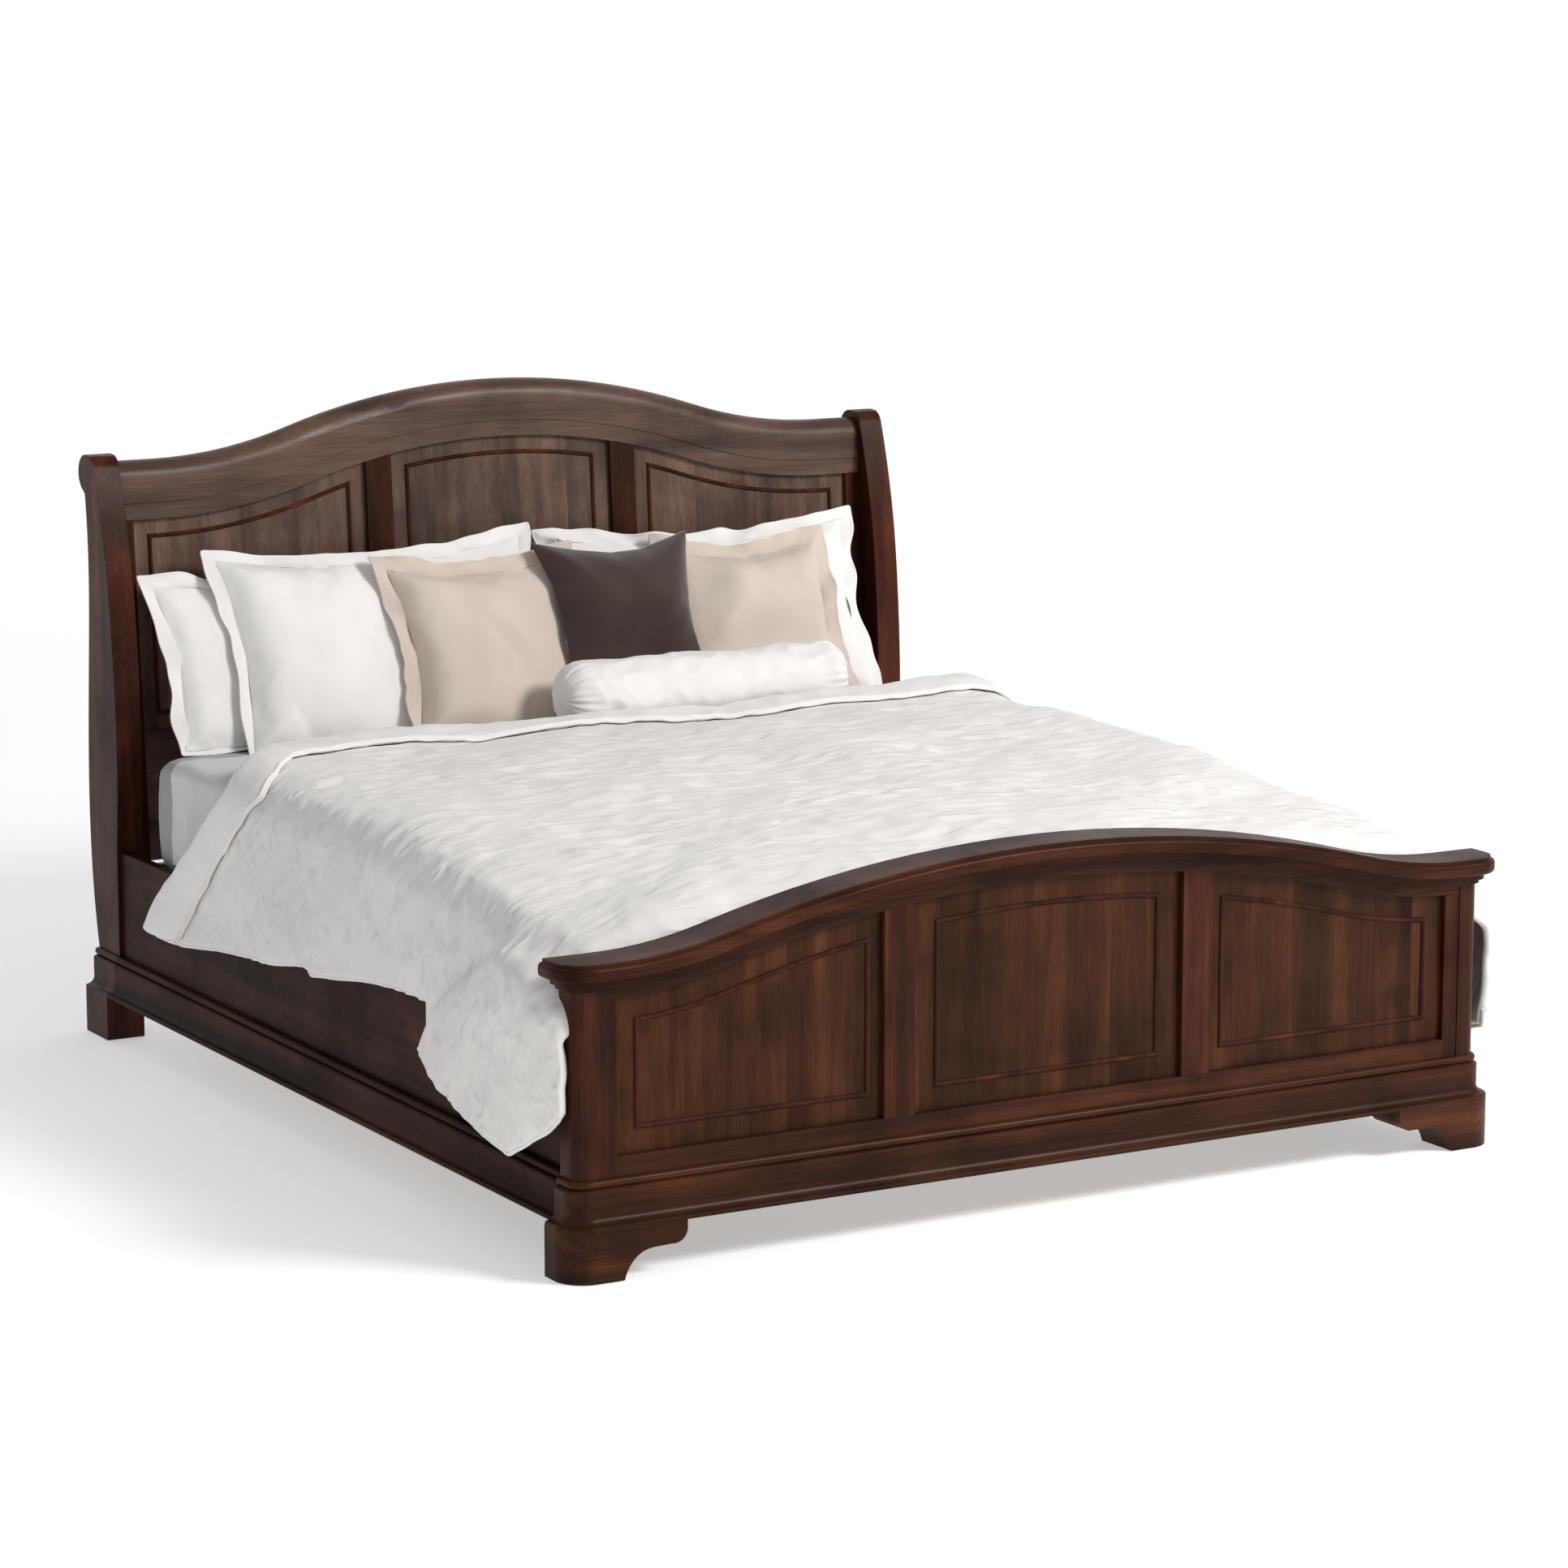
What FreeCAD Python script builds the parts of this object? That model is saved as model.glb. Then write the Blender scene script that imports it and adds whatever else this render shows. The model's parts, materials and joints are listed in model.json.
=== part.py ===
"""King-size sleigh bed with its mattress and bedding.

Frame of the model: +X across the bed, +Y from the footboard to the headboard,
+Z up.  The origin is on the floor, midway between the sides, below the middle
of the whole object's length.  All sizes are millimetres.
"""
import FreeCAD, Part
import math
import os

V = FreeCAD.Vector
X_AXIS = V(1, 0, 0)
Y_AXIS = V(0, 1, 0)
Z_AXIS = V(0, 0, 1)

# ---------------------------------------------------------------- sizes
# overall
MATTRESS_WIDTH = 1930.0
MATTRESS_LENGTH = 2030.0
MATTRESS_THICK = 255.0
MATTRESS_FOOT_GAP = 65.0         # footboard frame to mattress
MATTRESS_HEAD_GAP = 160.0        # mattress to headboard face at its own height
SIDE_GAP = 9.0                   # mattress to side rail
SLEEP_BASE_HEIGHT = 395.0        # floor to the top of the slats

# side rails
RAIL_THICK = 26.0
RAIL_TOP = 422.0
RAIL_BOTTOM = 103.0
POST_PROUD = 8.0                 # headboard post stands out past the rail

# base moulding, shared by plinth, rails and headboard blocks
FOOT_HEIGHT = 98.0               # floor to the underside of the moulding
BASE_HEIGHT = 89.0               # height of the moulding
BASE_OUT = 33.0                  # how far its lip stands out from the post
BEAD_RADIUS = 8.0
BEAD_OUT = 9.0
UPPER_OUT = 13.0
UPPER_HEIGHT = 42.0              # flat face between the bead and the cove
LIP_HEIGHT = 8.0
CREASE_DEPTH = 4.0

# footboard
FOOT_POST_WIDTH = 51.0
FOOT_POST_DEPTH = 64.0
FOOT_POST_RADIUS = 27.0
FOOT_POST_OUT = 30.0             # footboard post stands out past the rail
FOOT_FRAME_SET = 2.0             # panel frame behind the post front
FOOT_FRAME_THICK = 30.0
FOOT_END_HEIGHT = 597.0          # top of the cap at its ends
FOOT_RISE = 130.0                # extra height at the middle
FOOT_ARCH_LEVEL = 70.0           # level part of the top at each end
FOOT_CROWN_SHARE = 0.76          # crown radius as a share of crown plus reverse
CAP_THICK = 34.0
CAP_TOP_LAYER = 6.0
CAP_TOP_OUT = 30.0
CAP_NOSE_OUT = 39.0
CAP_BACK_OUT = 7.0
CAP_NOSE_ROUND = 9.0
CAP_MOULD_HEIGHT = 22.0
CAP_COVE_OUT = 18.0
CAP_LOW_OUT = 8.0
CAP_LOW_HEIGHT = 9.0
FOOT_TOP_RAIL_SHOW = 18.0        # top rail seen below the cap moulding
FOOT_OPENING_BOTTOM = 225.0
FOOT_STILE_WIDTH = 35.0
FOOT_CENTRE_SHARE = 0.3126       # half the centre opening, as a share of the half width
FOOT_MULLION_WIDTH = 67.0
BRACKET_INNER_TOP = 247.0        # bracket foot, width under the plinth
BRACKET_LEG = 115.0              # bracket foot, width on the floor
BRACKET_DEPTH = 99.0

# headboard
HEAD_POST_THICK = 60.0
HEAD_END_HEIGHT = 1280.0         # top of the crest rail at its ends
HEAD_RISE = 138.0
HEAD_ARCH_LEVEL = 98.0
HEAD_CROWN_SHARE = 0.614
HEAD_LEAN_DEG = 4.2
EAR_HEIGHT = 13.0                # post top above the crest rail
CREST_HEIGHT = 96.0
ROLL_RADIUS = 40.0
CREST_THICK = 36.0
BAND_HEIGHT = 36.0
HEAD_FRAME_THICK = 30.0
HEAD_STILE_WIDTH = 34.0
HEAD_CENTRE_SHARE = 0.2964
HEAD_MULLION_WIDTH = 64.0
HEAD_OPENING_BOTTOM = 679.0
HEAD_BOTTOM_RAIL = 290.0
HEAD_BLOCK_DEPTH = 122.0
HEAD_BLOCK_SET_IN = 5.0
HEAD_FACE_BACK = 50.0            # panel face behind the block front, at mattress top
STRETCHER_HEIGHT = 90.0
STRETCHER_THICK = 24.0

# panels and beads
PANEL_THICK = 8.0
PANEL_RECESS = 12.0
PANEL_TONGUE = 8.0
GROOVE_CLEAR = 0.4
PANEL_BEAD_WIDTH = 9.0
PANEL_BEAD_PROUD = 5.0
PANEL_BEAD_BEVEL = 3.0
FOOT_BEAD_INSET = 45.0           # bead below and above the edge of its opening
FOOT_BEAD_SIDES = (42.0, 27.0, 50.0)   # outer, inner and centre panel sides
HEAD_BEAD_INSET = 33.0
HEAD_BEAD_SIDES = (36.0, 36.5, 39.0)
FRAME_STEP = 2.0                 # each headboard layer steps back by this

# slats and centre support
SLAT_COUNT = 13
SLAT_WIDTH = 70.0
SLAT_THICK = 20.0
SLAT_END_CLEAR = 2.0
CLEAT_SIZE = 30.0
BEAM_WIDTH = 45.0
BEAM_HEIGHT = 70.0
LEG_SIZE = 50.0
LEG_CLEAR = 30.0                 # floor to the underside of a centre leg
LEG_SPACING_SHARE = 0.275        # leg spacing as a share of the mattress length
LEVELLER_DISC_RADIUS = 20.0
LEVELLER_DISC_THICK = 10.0
LEVELLER_STEM_RADIUS = 5.0
LEVELLER_STEM_LENGTH = 60.0
LEVELLER_BORE_CLEAR = 0.4
LEVELLER_TRAVEL = 12.0
BRACKET_PLATE = 3.0

# rail hardware
PLATE_HEIGHT = 140.0
PLATE_WIDTH = 18.0
PLATE_THICK = 3.0
HOOK_STEP_IN = 8.0                # least distance from the post's inner face to the hook line
PLATE_MID_HEIGHT = 300.0
HOOK_REACH = 14.0
HOOK_HEIGHT = 22.0
HOOK_THICK = 5.0
HOOK_SPACING = 60.0
HOOK_CLEAR = 1.0
SCREW_RADIUS = 2.2
SCREW_HEAD_RADIUS = 4.2
SCREW_HEAD_HEIGHT = 3.0
SCREW_LENGTH = 36.0

# bedding
MATTRESS_EDGE = 38.0
MATTRESS_CORNER = 60.0
COVERLET_THICK = 5.0
COVERLET_HEAD_BARE = 110.0       # mattress left bare at the head end
COVERLET_ABOVE_RAIL = 6.0
SOFT_CLEAR = 1.5
DUVET_THICK = 46.0
DUVET_HEAD_BARE = 315.0          # mattress length not covered by the duvet
DUVET_FOOT_CLEAR = 6.0
DUVET_SIDE_THICK = 86.0
DUVET_RAIL_CLEAR = 44.0
DUVET_HEM_HEIGHT = 300.0

# ---------------------------------------------------------------- derived
RAIL_INNER = MATTRESS_WIDTH / 2 + SIDE_GAP
RAIL_OUTER = RAIL_INNER + RAIL_THICK
HEAD_POST_OUTER = RAIL_OUTER + POST_PROUD
HEAD_POST_INNER = HEAD_POST_OUTER - HEAD_POST_THICK
FOOT_POST_OUTER = RAIL_OUTER + FOOT_POST_OUT
FOOT_POST_INNER = FOOT_POST_OUTER - FOOT_POST_WIDTH
# The hooks sit mid rail, or a clear step outside the inner face of a slimmer foot post.
HOOK_LINE = max(RAIL_INNER + RAIL_THICK / 2, FOOT_POST_INNER + HOOK_STEP_IN)
BASE_TOP = FOOT_HEIGHT + BASE_HEIGHT
FOOT_MULLION_IN = FOOT_POST_INNER * FOOT_CENTRE_SHARE
HEAD_MULLION_IN = HEAD_POST_INNER * HEAD_CENTRE_SHARE
LEG_SPACING = MATTRESS_LENGTH * LEG_SPACING_SHARE

# stations along the bed, measured from the front of the bracket feet
FOOT_POST_FRONT = BASE_OUT
FOOT_POST_BACK = FOOT_POST_FRONT + FOOT_POST_DEPTH
FOOT_FRAME_FRONT = FOOT_POST_FRONT + FOOT_FRAME_SET
FOOT_FRAME_BACK = FOOT_FRAME_FRONT + FOOT_FRAME_THICK
CAP_BACK = FOOT_POST_BACK + CAP_BACK_OUT
MATTRESS_FOOT = FOOT_FRAME_BACK + MATTRESS_FOOT_GAP
MATTRESS_HEAD = MATTRESS_FOOT + MATTRESS_LENGTH
MATTRESS_TOP = SLEEP_BASE_HEIGHT + MATTRESS_THICK
HEAD_FACE = MATTRESS_HEAD + MATTRESS_HEAD_GAP
HEAD_FRONT = HEAD_FACE - HEAD_FACE_BACK
HEAD_BLOCK_BACK = HEAD_FRONT + HEAD_BLOCK_DEPTH

HEAD_LEAN = math.radians(HEAD_LEAN_DEG)
ROLL_CENTRE_RISE = HEAD_END_HEIGHT + HEAD_RISE - ROLL_RADIUS - MATTRESS_TOP
ROLL_CENTRE_BACK = HEAD_FACE + ROLL_RADIUS * math.cos(HEAD_LEAN) + ROLL_CENTRE_RISE * math.sin(HEAD_LEAN)
ROLL_BACK = ROLL_CENTRE_BACK + ROLL_RADIUS
# the origin lies below the middle of the whole length
ORIGIN_Y = (ROLL_BACK - CAP_NOSE_OUT + FOOT_POST_FRONT) / 2

SLAT_TOP = SLEEP_BASE_HEIGHT
SLAT_UNDER = SLAT_TOP - SLAT_THICK
BEAM_UNDER = SLAT_UNDER - BEAM_HEIGHT


# ---------------------------------------------------------------- helpers
def save(shape, node):
    """Move a finished piece to the model's origin and write it."""
    moved = shape.copy()
    moved.translate(V(0, -ORIGIN_Y, 0))
    moved.exportStep("parts/" + node + ".step")


def box(x0, x1, y0, y1, z0, z1):
    return Part.makeBox(x1 - x0, y1 - y0, z1 - z0, V(x0, y0, z0))


def mirror_x(shape):
    return shape.mirror(V(0, 0, 0), X_AXIS)


def polygon(points):
    return Part.makePolygon(points + [points[0]])


def group(shapes):
    return Part.makeCompound(shapes)


def fuse_all(shapes):
    whole = shapes[0]
    for shape in shapes[1:]:
        whole = whole.fuse(shape)
    return whole.removeSplitter()


class Arch:
    """Wavy top line: a crown arc, a reverse arc on each side, then level ends.

    drop moves the line down by that distance, square to itself.
    """

    def __init__(self, end_height, rise, reach, crown_share):
        self.end = end_height
        self.top = end_height + rise
        self.reach = reach
        self.angle = 2 * math.atan2(rise, reach)
        both = reach / math.sin(self.angle)
        self.crown = both * crown_share
        self.reverse = both - self.crown

    def on_crown(self, angle, drop):
        radius = self.crown - drop
        return V(radius * math.sin(angle), 0, self.top - self.crown + radius * math.cos(angle))

    def on_reverse(self, angle, drop):
        radius = self.reverse + drop
        return V(self.reach - radius * math.sin(angle), 0,
                 self.end + self.reverse - radius * math.cos(angle))

    def edges(self, half_width, drop):
        """Edges from -half_width to +half_width."""
        a = self.angle
        end = V(half_width, 0, self.end - drop)
        right = [Part.LineSegment(self.on_reverse(0, drop), end)]
        right.insert(0, Part.Arc(self.on_reverse(a, drop), self.on_reverse(a / 2, drop),
                                 self.on_reverse(0, drop)))
        crown = Part.Arc(flip(self.on_crown(a, drop)), self.on_crown(0, drop), self.on_crown(a, drop))
        left = [Part.LineSegment(flip(end), flip(self.on_reverse(0, drop))),
                Part.Arc(flip(self.on_reverse(0, drop)), flip(self.on_reverse(a / 2, drop)),
                         flip(self.on_reverse(a, drop)))]
        return [curve.toShape() for curve in left + [crown] + right]

    def below(self, half_width, drop, bottom, y0, y1):
        """Solid under the dropped line, down to bottom, between two stations."""
        line = self.edges(half_width, drop)
        left = V(-half_width, 0, self.end - drop)
        right = V(half_width, 0, self.end - drop)
        base_right = V(half_width, 0, bottom)
        base_left = V(-half_width, 0, bottom)
        sides = [Part.makeLine(right, base_right), Part.makeLine(base_right, base_left),
                 Part.makeLine(base_left, left)]
        face = Part.Face(Part.Wire(Part.__sortEdges__(line + sides)))
        solid = face.extrude(V(0, y1 - y0, 0))
        solid.translate(V(0, y0, 0))
        return solid

    def between(self, half_width, upper_drop, lower_drop, y0, y1):
        """Solid between two dropped lines."""
        upper = self.edges(half_width, upper_drop)
        lower = self.edges(half_width, lower_drop)
        ends = []
        for side in (-1, 1):
            ends.append(Part.makeLine(V(side * half_width, 0, self.end - upper_drop),
                                      V(side * half_width, 0, self.end - lower_drop)))
        face = Part.Face(Part.Wire(Part.__sortEdges__(upper + lower + ends)))
        solid = face.extrude(V(0, y1 - y0, 0))
        solid.translate(V(0, y0, 0))
        return solid


def flip(point):
    return V(-point.x, point.y, point.z)


def soften(shape, radius, wanted):
    """Round the edges that wanted(edge) picks."""
    picked = [edge for edge in shape.Edges if wanted(edge)]
    return shape.makeFillet(radius, picked)


FOOT_ARCH = Arch(FOOT_END_HEIGHT, FOOT_RISE, FOOT_POST_OUTER - FOOT_ARCH_LEVEL, FOOT_CROWN_SHARE)
HEAD_ARCH = Arch(HEAD_END_HEIGHT, HEAD_RISE, HEAD_POST_INNER - HEAD_ARCH_LEVEL, HEAD_CROWN_SHARE)


# ---------------------------------------------------------------- base moulding
def base_profile(inner, outer):
    """Outline of the base moulding in X and Z; outer is the post's outer face."""
    top = BASE_TOP
    bead_low = top - 2 * BEAD_RADIUS
    upper_top = bead_low - 2.0
    upper_low = upper_top - UPPER_HEIGHT
    lip_top = FOOT_HEIGHT + LIP_HEIGHT
    bead_start = V(outer + BEAD_OUT - BEAD_RADIUS, 0, top)
    bead_mid = V(outer + BEAD_OUT, 0, top - BEAD_RADIUS)
    bead_end = V(outer + BEAD_OUT - BEAD_RADIUS, 0, bead_low)
    crease = V(outer + BEAD_OUT - CREASE_DEPTH, 0, bead_low)
    upper_edge = V(outer + UPPER_OUT - 3.0, 0, upper_top)
    upper_turn = V(outer + UPPER_OUT, 0, upper_top - 3.0)
    cove_start = V(outer + UPPER_OUT, 0, upper_low)
    cove_end = V(outer + BASE_OUT - 3.0, 0, lip_top)
    cove_mid = V(outer + UPPER_OUT + 5.0, 0, lip_top + 5.5)
    lip_turn = V(outer + BASE_OUT, 0, lip_top - 3.0)
    lip_end = V(outer + BASE_OUT, 0, FOOT_HEIGHT)
    edges = [Part.makeLine(V(inner, 0, FOOT_HEIGHT), V(inner, 0, top)),
             Part.makeLine(V(inner, 0, top), bead_start),
             Part.Arc(bead_start, bead_mid, bead_end).toShape()]
    if crease.sub(bead_end).Length > 0.01:
        edges.append(Part.makeLine(bead_end, crease))
    edges += [Part.makeLine(crease, upper_edge),
              Part.makeLine(upper_edge, upper_turn),
              Part.makeLine(upper_turn, cove_start),
              Part.Arc(cove_start, cove_mid, cove_end).toShape(),
              Part.makeLine(cove_end, lip_turn),
              Part.makeLine(lip_turn, lip_end),
              Part.makeLine(lip_end, V(inner, 0, FOOT_HEIGHT))]
    return Part.Face(Part.Wire(Part.__sortEdges__(edges)))


def extrude_y(face, y0, y1):
    solid = face.extrude(V(0, y1 - y0, 0))
    solid.translate(V(0, y0, 0))
    return solid


# ---------------------------------------------------------------- footboard
def foot_plan(outset, back, z0, z1):
    """Rounded-corner block around the footboard, outset from its posts."""
    half = FOOT_POST_OUTER + outset
    front = FOOT_POST_FRONT - outset
    radius = FOOT_POST_RADIUS + outset
    block = box(-half, half, front, back, z0, z1)
    return soften(block, radius, lambda edge: is_upright_at(edge, front))


def is_upright_at(edge, y):
    low = edge.Vertexes[0].Point
    high = edge.Vertexes[-1].Point
    upright = abs(low.x - high.x) < 0.01 and abs(low.y - high.y) < 0.01
    return upright and abs(low.y - y) < 0.01


def foot_core(z0, z1):
    """Room taken by the footboard's posts and panel frame."""
    posts = foot_plan(0.0, FOOT_POST_BACK + 50, z0, z1)
    gap = box(-FOOT_POST_INNER, FOOT_POST_INNER, FOOT_POST_FRONT - 5, FOOT_FRAME_FRONT, z0, z1)
    return posts.cut(gap)


def make_foot_cap():
    half = FOOT_POST_OUTER + CAP_NOSE_OUT + 20
    low = FOOT_END_HEIGHT - 2 * CAP_THICK
    high = FOOT_END_HEIGHT + FOOT_RISE + 10
    y0 = FOOT_POST_FRONT - CAP_NOSE_OUT - 20
    y1 = CAP_BACK + 20
    top = foot_plan(CAP_TOP_OUT, CAP_BACK, low, high)
    top = top.common(FOOT_ARCH.between(half, 0, CAP_TOP_LAYER, y0, y1))
    nose = foot_plan(CAP_NOSE_OUT, CAP_BACK, low, high)
    nose = nose.common(FOOT_ARCH.between(half, CAP_TOP_LAYER, CAP_THICK, y0, y1))
    nose = round_front(nose, CAP_NOSE_ROUND)
    return fuse_all([top, nose])


def round_front(solid, radius):
    """Round the long front and end edges of a cap layer, not its back ones."""
    def wanted(edge):
        back = all(abs(vertex.Point.y - CAP_BACK) < 0.5 for vertex in edge.Vertexes)
        low = edge.Vertexes[0].Point
        high = edge.Vertexes[-1].Point
        upright = abs(low.x - high.x) < 0.01 and abs(low.y - high.y) < 0.01
        return not back and not upright
    return soften(solid, radius, wanted)


def make_foot_cap_moulding():
    half = FOOT_POST_OUTER + CAP_NOSE_OUT + 20
    low = FOOT_END_HEIGHT - 3 * CAP_THICK
    high = FOOT_END_HEIGHT + FOOT_RISE + 10
    y0 = FOOT_POST_FRONT - CAP_NOSE_OUT - 20
    y1 = CAP_BACK + 20
    split = CAP_THICK + CAP_MOULD_HEIGHT - CAP_LOW_HEIGHT
    cove = foot_plan(CAP_COVE_OUT, FOOT_POST_BACK, low, high)
    cove = cove.common(FOOT_ARCH.between(half, CAP_THICK, split, y0, y1))
    lower = foot_plan(CAP_LOW_OUT, FOOT_POST_BACK, low, high)
    lower = lower.common(FOOT_ARCH.between(half, split, CAP_THICK + CAP_MOULD_HEIGHT, y0, y1))
    return fuse_all([cove, lower]).cut(foot_core(low, high))


def make_foot_post():
    """Right-hand corner post."""
    post = foot_plan(0.0, FOOT_POST_BACK, FOOT_HEIGHT, FOOT_END_HEIGHT - CAP_THICK)
    return post.common(box(FOOT_POST_INNER, FOOT_POST_OUTER + 5, FOOT_POST_FRONT - 5,
                           FOOT_POST_BACK + 5, FOOT_HEIGHT - 5, FOOT_END_HEIGHT))


def foot_board(x0, x1, z0, drop):
    """Upright board of the footboard frame, its top cut to the arch."""
    under = FOOT_ARCH.below(FOOT_POST_INNER, drop, z0, FOOT_FRAME_FRONT, FOOT_FRAME_BACK)
    high = FOOT_END_HEIGHT + FOOT_RISE
    return under.common(box(x0, x1, FOOT_FRAME_FRONT, FOOT_FRAME_BACK, z0, high))


def foot_opening(x0, x1, grow, y0, y1):
    drop = CAP_THICK + CAP_MOULD_HEIGHT + FOOT_TOP_RAIL_SHOW
    under = FOOT_ARCH.below(FOOT_POST_INNER, drop - grow, FOOT_OPENING_BOTTOM - grow, y0, y1)
    high = FOOT_END_HEIGHT + FOOT_RISE
    return under.common(box(x0 - grow, x1 + grow, y0, y1, FOOT_OPENING_BOTTOM - grow, high))


def foot_panels():
    """Spans of the three openings and the bead insets at their two sides."""
    mullion_out = FOOT_MULLION_IN + FOOT_MULLION_WIDTH
    opening_out = FOOT_POST_INNER - FOOT_STILE_WIDTH
    outer, inner, centre = FOOT_BEAD_SIDES
    return [("left", -opening_out, -mullion_out, outer, inner),
            ("centre", -FOOT_MULLION_IN, FOOT_MULLION_IN, centre, centre),
            ("right", mullion_out, opening_out, inner, outer)]


def cut_grooves(board, opening, panels, face):
    """Cut the panels' grooves into a frame member."""
    near = face + PANEL_RECESS - GROOVE_CLEAR
    far = face + PANEL_RECESS + PANEL_THICK + GROOVE_CLEAR
    for name, x0, x1, left, right in panels:
        groove = opening(x0, x1, PANEL_TONGUE + GROOVE_CLEAR, near, far)
        board = board.cut(groove)
    return board


def bead_ring(opening, x0, x1, left, right, inset, face):
    """Bevelled bead applied to a panel, following the panel's own outline."""
    back = face + PANEL_RECESS
    front = back - PANEL_BEAD_PROUD
    x0 = x0 + left - inset
    x1 = x1 - right + inset
    outer = opening(x0, x1, -inset, front, back)
    inner = opening(x0, x1, -inset - PANEL_BEAD_WIDTH, front - 1, back + 1)
    ring = outer.cut(inner)
    front_edges = [edge for edge in ring.Edges if is_on_front(edge, front)]
    return ring.makeChamfer(PANEL_BEAD_BEVEL, front_edges)


def is_on_front(edge, y):
    return all(abs(vertex.Point.y - y) < 0.01 for vertex in edge.Vertexes)


def make_foot_bracket():
    """Right-hand bracket foot: a block with an ogee cut in its inner side."""
    outer = FOOT_POST_OUTER + BASE_OUT
    inner = outer - BRACKET_INNER_TOP
    leg = outer - BRACKET_LEG
    nose_top = V(inner, 0, FOOT_HEIGHT - 16)
    nose_mid = V(inner + 10, 0, FOOT_HEIGHT - 36)
    nose_low = V(inner + 32, 0, FOOT_HEIGHT - 42)
    turn = V(inner + 92, 0, FOOT_HEIGHT - 48)
    heel = V(inner + 122, 0, FOOT_HEIGHT - 74)
    floor_inner = V(leg, 0, 0)
    ogee = Part.BSplineCurve()
    ogee.interpolate([nose_low, V(inner + 62, 0, FOOT_HEIGHT - 43), turn, heel, floor_inner])
    edges = [Part.makeLine(V(inner, 0, FOOT_HEIGHT), nose_top),
             Part.Arc(nose_top, nose_mid, nose_low).toShape(),
             ogee.toShape(),
             Part.makeLine(floor_inner, V(outer, 0, 0)),
             Part.makeLine(V(outer, 0, 0), V(outer, 0, FOOT_HEIGHT)),
             Part.makeLine(V(outer, 0, FOOT_HEIGHT), V(inner, 0, FOOT_HEIGHT))]
    blank = extrude_y(Part.Face(Part.Wire(Part.__sortEdges__(edges))), 0, BRACKET_DEPTH)
    return blank.common(foot_plan(BASE_OUT, BRACKET_DEPTH, 0, FOOT_HEIGHT))


def make_foot_plinth():
    """Base moulding across the front, returned along both ends."""
    inner = FOOT_POST_OUTER - 30
    path = [V(-FOOT_POST_OUTER, FOOT_POST_BACK, 0), V(-FOOT_POST_OUTER, FOOT_POST_FRONT, 0),
            V(FOOT_POST_OUTER, FOOT_POST_FRONT, 0), V(FOOT_POST_OUTER, FOOT_POST_BACK, 0)]
    radius = FOOT_POST_RADIUS
    corner = math.sqrt(0.5) * radius
    left = V(-FOOT_POST_OUTER + radius, FOOT_POST_FRONT + radius, 0)
    right = flip(left)
    edges = [Part.makeLine(path[0], left + V(-radius, 0, 0)),
             Part.Arc(left + V(-radius, 0, 0), left + V(-corner, -corner, 0),
                      left + V(0, -radius, 0)).toShape(),
             Part.makeLine(left + V(0, -radius, 0), right + V(0, -radius, 0)),
             Part.Arc(right + V(0, -radius, 0), right + V(corner, -corner, 0),
                      right + V(radius, 0, 0)).toShape(),
             Part.makeLine(right + V(radius, 0, 0), path[3])]
    spine = Part.Wire(edges)
    profile = mirror_x(base_profile(inner + 30 - 12, FOOT_POST_OUTER))
    profile.translate(V(0, FOOT_POST_BACK, 0))
    solid = spine.makePipeShell([profile.OuterWire], True, False)
    return solid.cut(foot_core(FOOT_HEIGHT - 5, BASE_TOP + 5))


def build_footboard():
    post = make_foot_post()
    rails_drop = CAP_THICK
    opening_drop = CAP_THICK + CAP_MOULD_HEIGHT + FOOT_TOP_RAIL_SHOW
    opening_out = FOOT_POST_INNER - FOOT_STILE_WIDTH
    mullion_out = FOOT_MULLION_IN + FOOT_MULLION_WIDTH
    panels = foot_panels()
    face = FOOT_FRAME_FRONT
    top_rail = FOOT_ARCH.between(FOOT_POST_INNER, rails_drop, opening_drop, face, FOOT_FRAME_BACK)
    top_rail = cut_grooves(top_rail, foot_opening, panels, face)
    bottom_rail = box(-opening_out, opening_out, face, FOOT_FRAME_BACK, FOOT_HEIGHT, FOOT_OPENING_BOTTOM)
    bottom_rail = cut_grooves(bottom_rail, foot_opening, panels, face)
    stile = foot_board(opening_out, FOOT_POST_INNER, FOOT_HEIGHT, opening_drop)
    stile = cut_grooves(stile, foot_opening, panels, face)
    mullion = foot_board(FOOT_MULLION_IN, mullion_out, FOOT_OPENING_BOTTOM, opening_drop)
    mullion = cut_grooves(mullion, foot_opening, panels, face)
    beads = []
    for name, x0, x1, left, right in panels:
        near = face + PANEL_RECESS
        save(foot_opening(x0, x1, PANEL_TONGUE, near, near + PANEL_THICK), "foot_panel_" + name)
        beads.append(bead_ring(foot_opening, x0, x1, left, right, FOOT_BEAD_INSET, face))
    bracket = make_foot_bracket()
    save(group(beads), "foot_panel_beads")
    save(top_rail, "foot_top_rail")
    save(bottom_rail, "foot_bottom_rail")
    for side, turn in (("right", lambda s: s), ("left", mirror_x)):
        save(turn(stile), "foot_stile_" + side)
        save(turn(mullion), "foot_mullion_" + side)
        save(turn(bracket), "foot_bracket_" + side)
    save(make_foot_plinth(), "foot_plinth")
    save(make_foot_cap(), "foot_cap")
    save(make_foot_cap_moulding(), "foot_cap_moulding")
    return post


# ---------------------------------------------------------------- headboard
def lean(shape):
    """Lean an upright headboard piece back about its line at mattress height."""
    leant = shape.copy()
    leant.rotate(V(0, HEAD_FACE, MATTRESS_TOP), X_AXIS, -HEAD_LEAN_DEG)
    return leant


def leant_y(height):
    """Station of the headboard's face at a height."""
    return HEAD_FACE + (height - MATTRESS_TOP) * math.tan(HEAD_LEAN)


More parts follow.
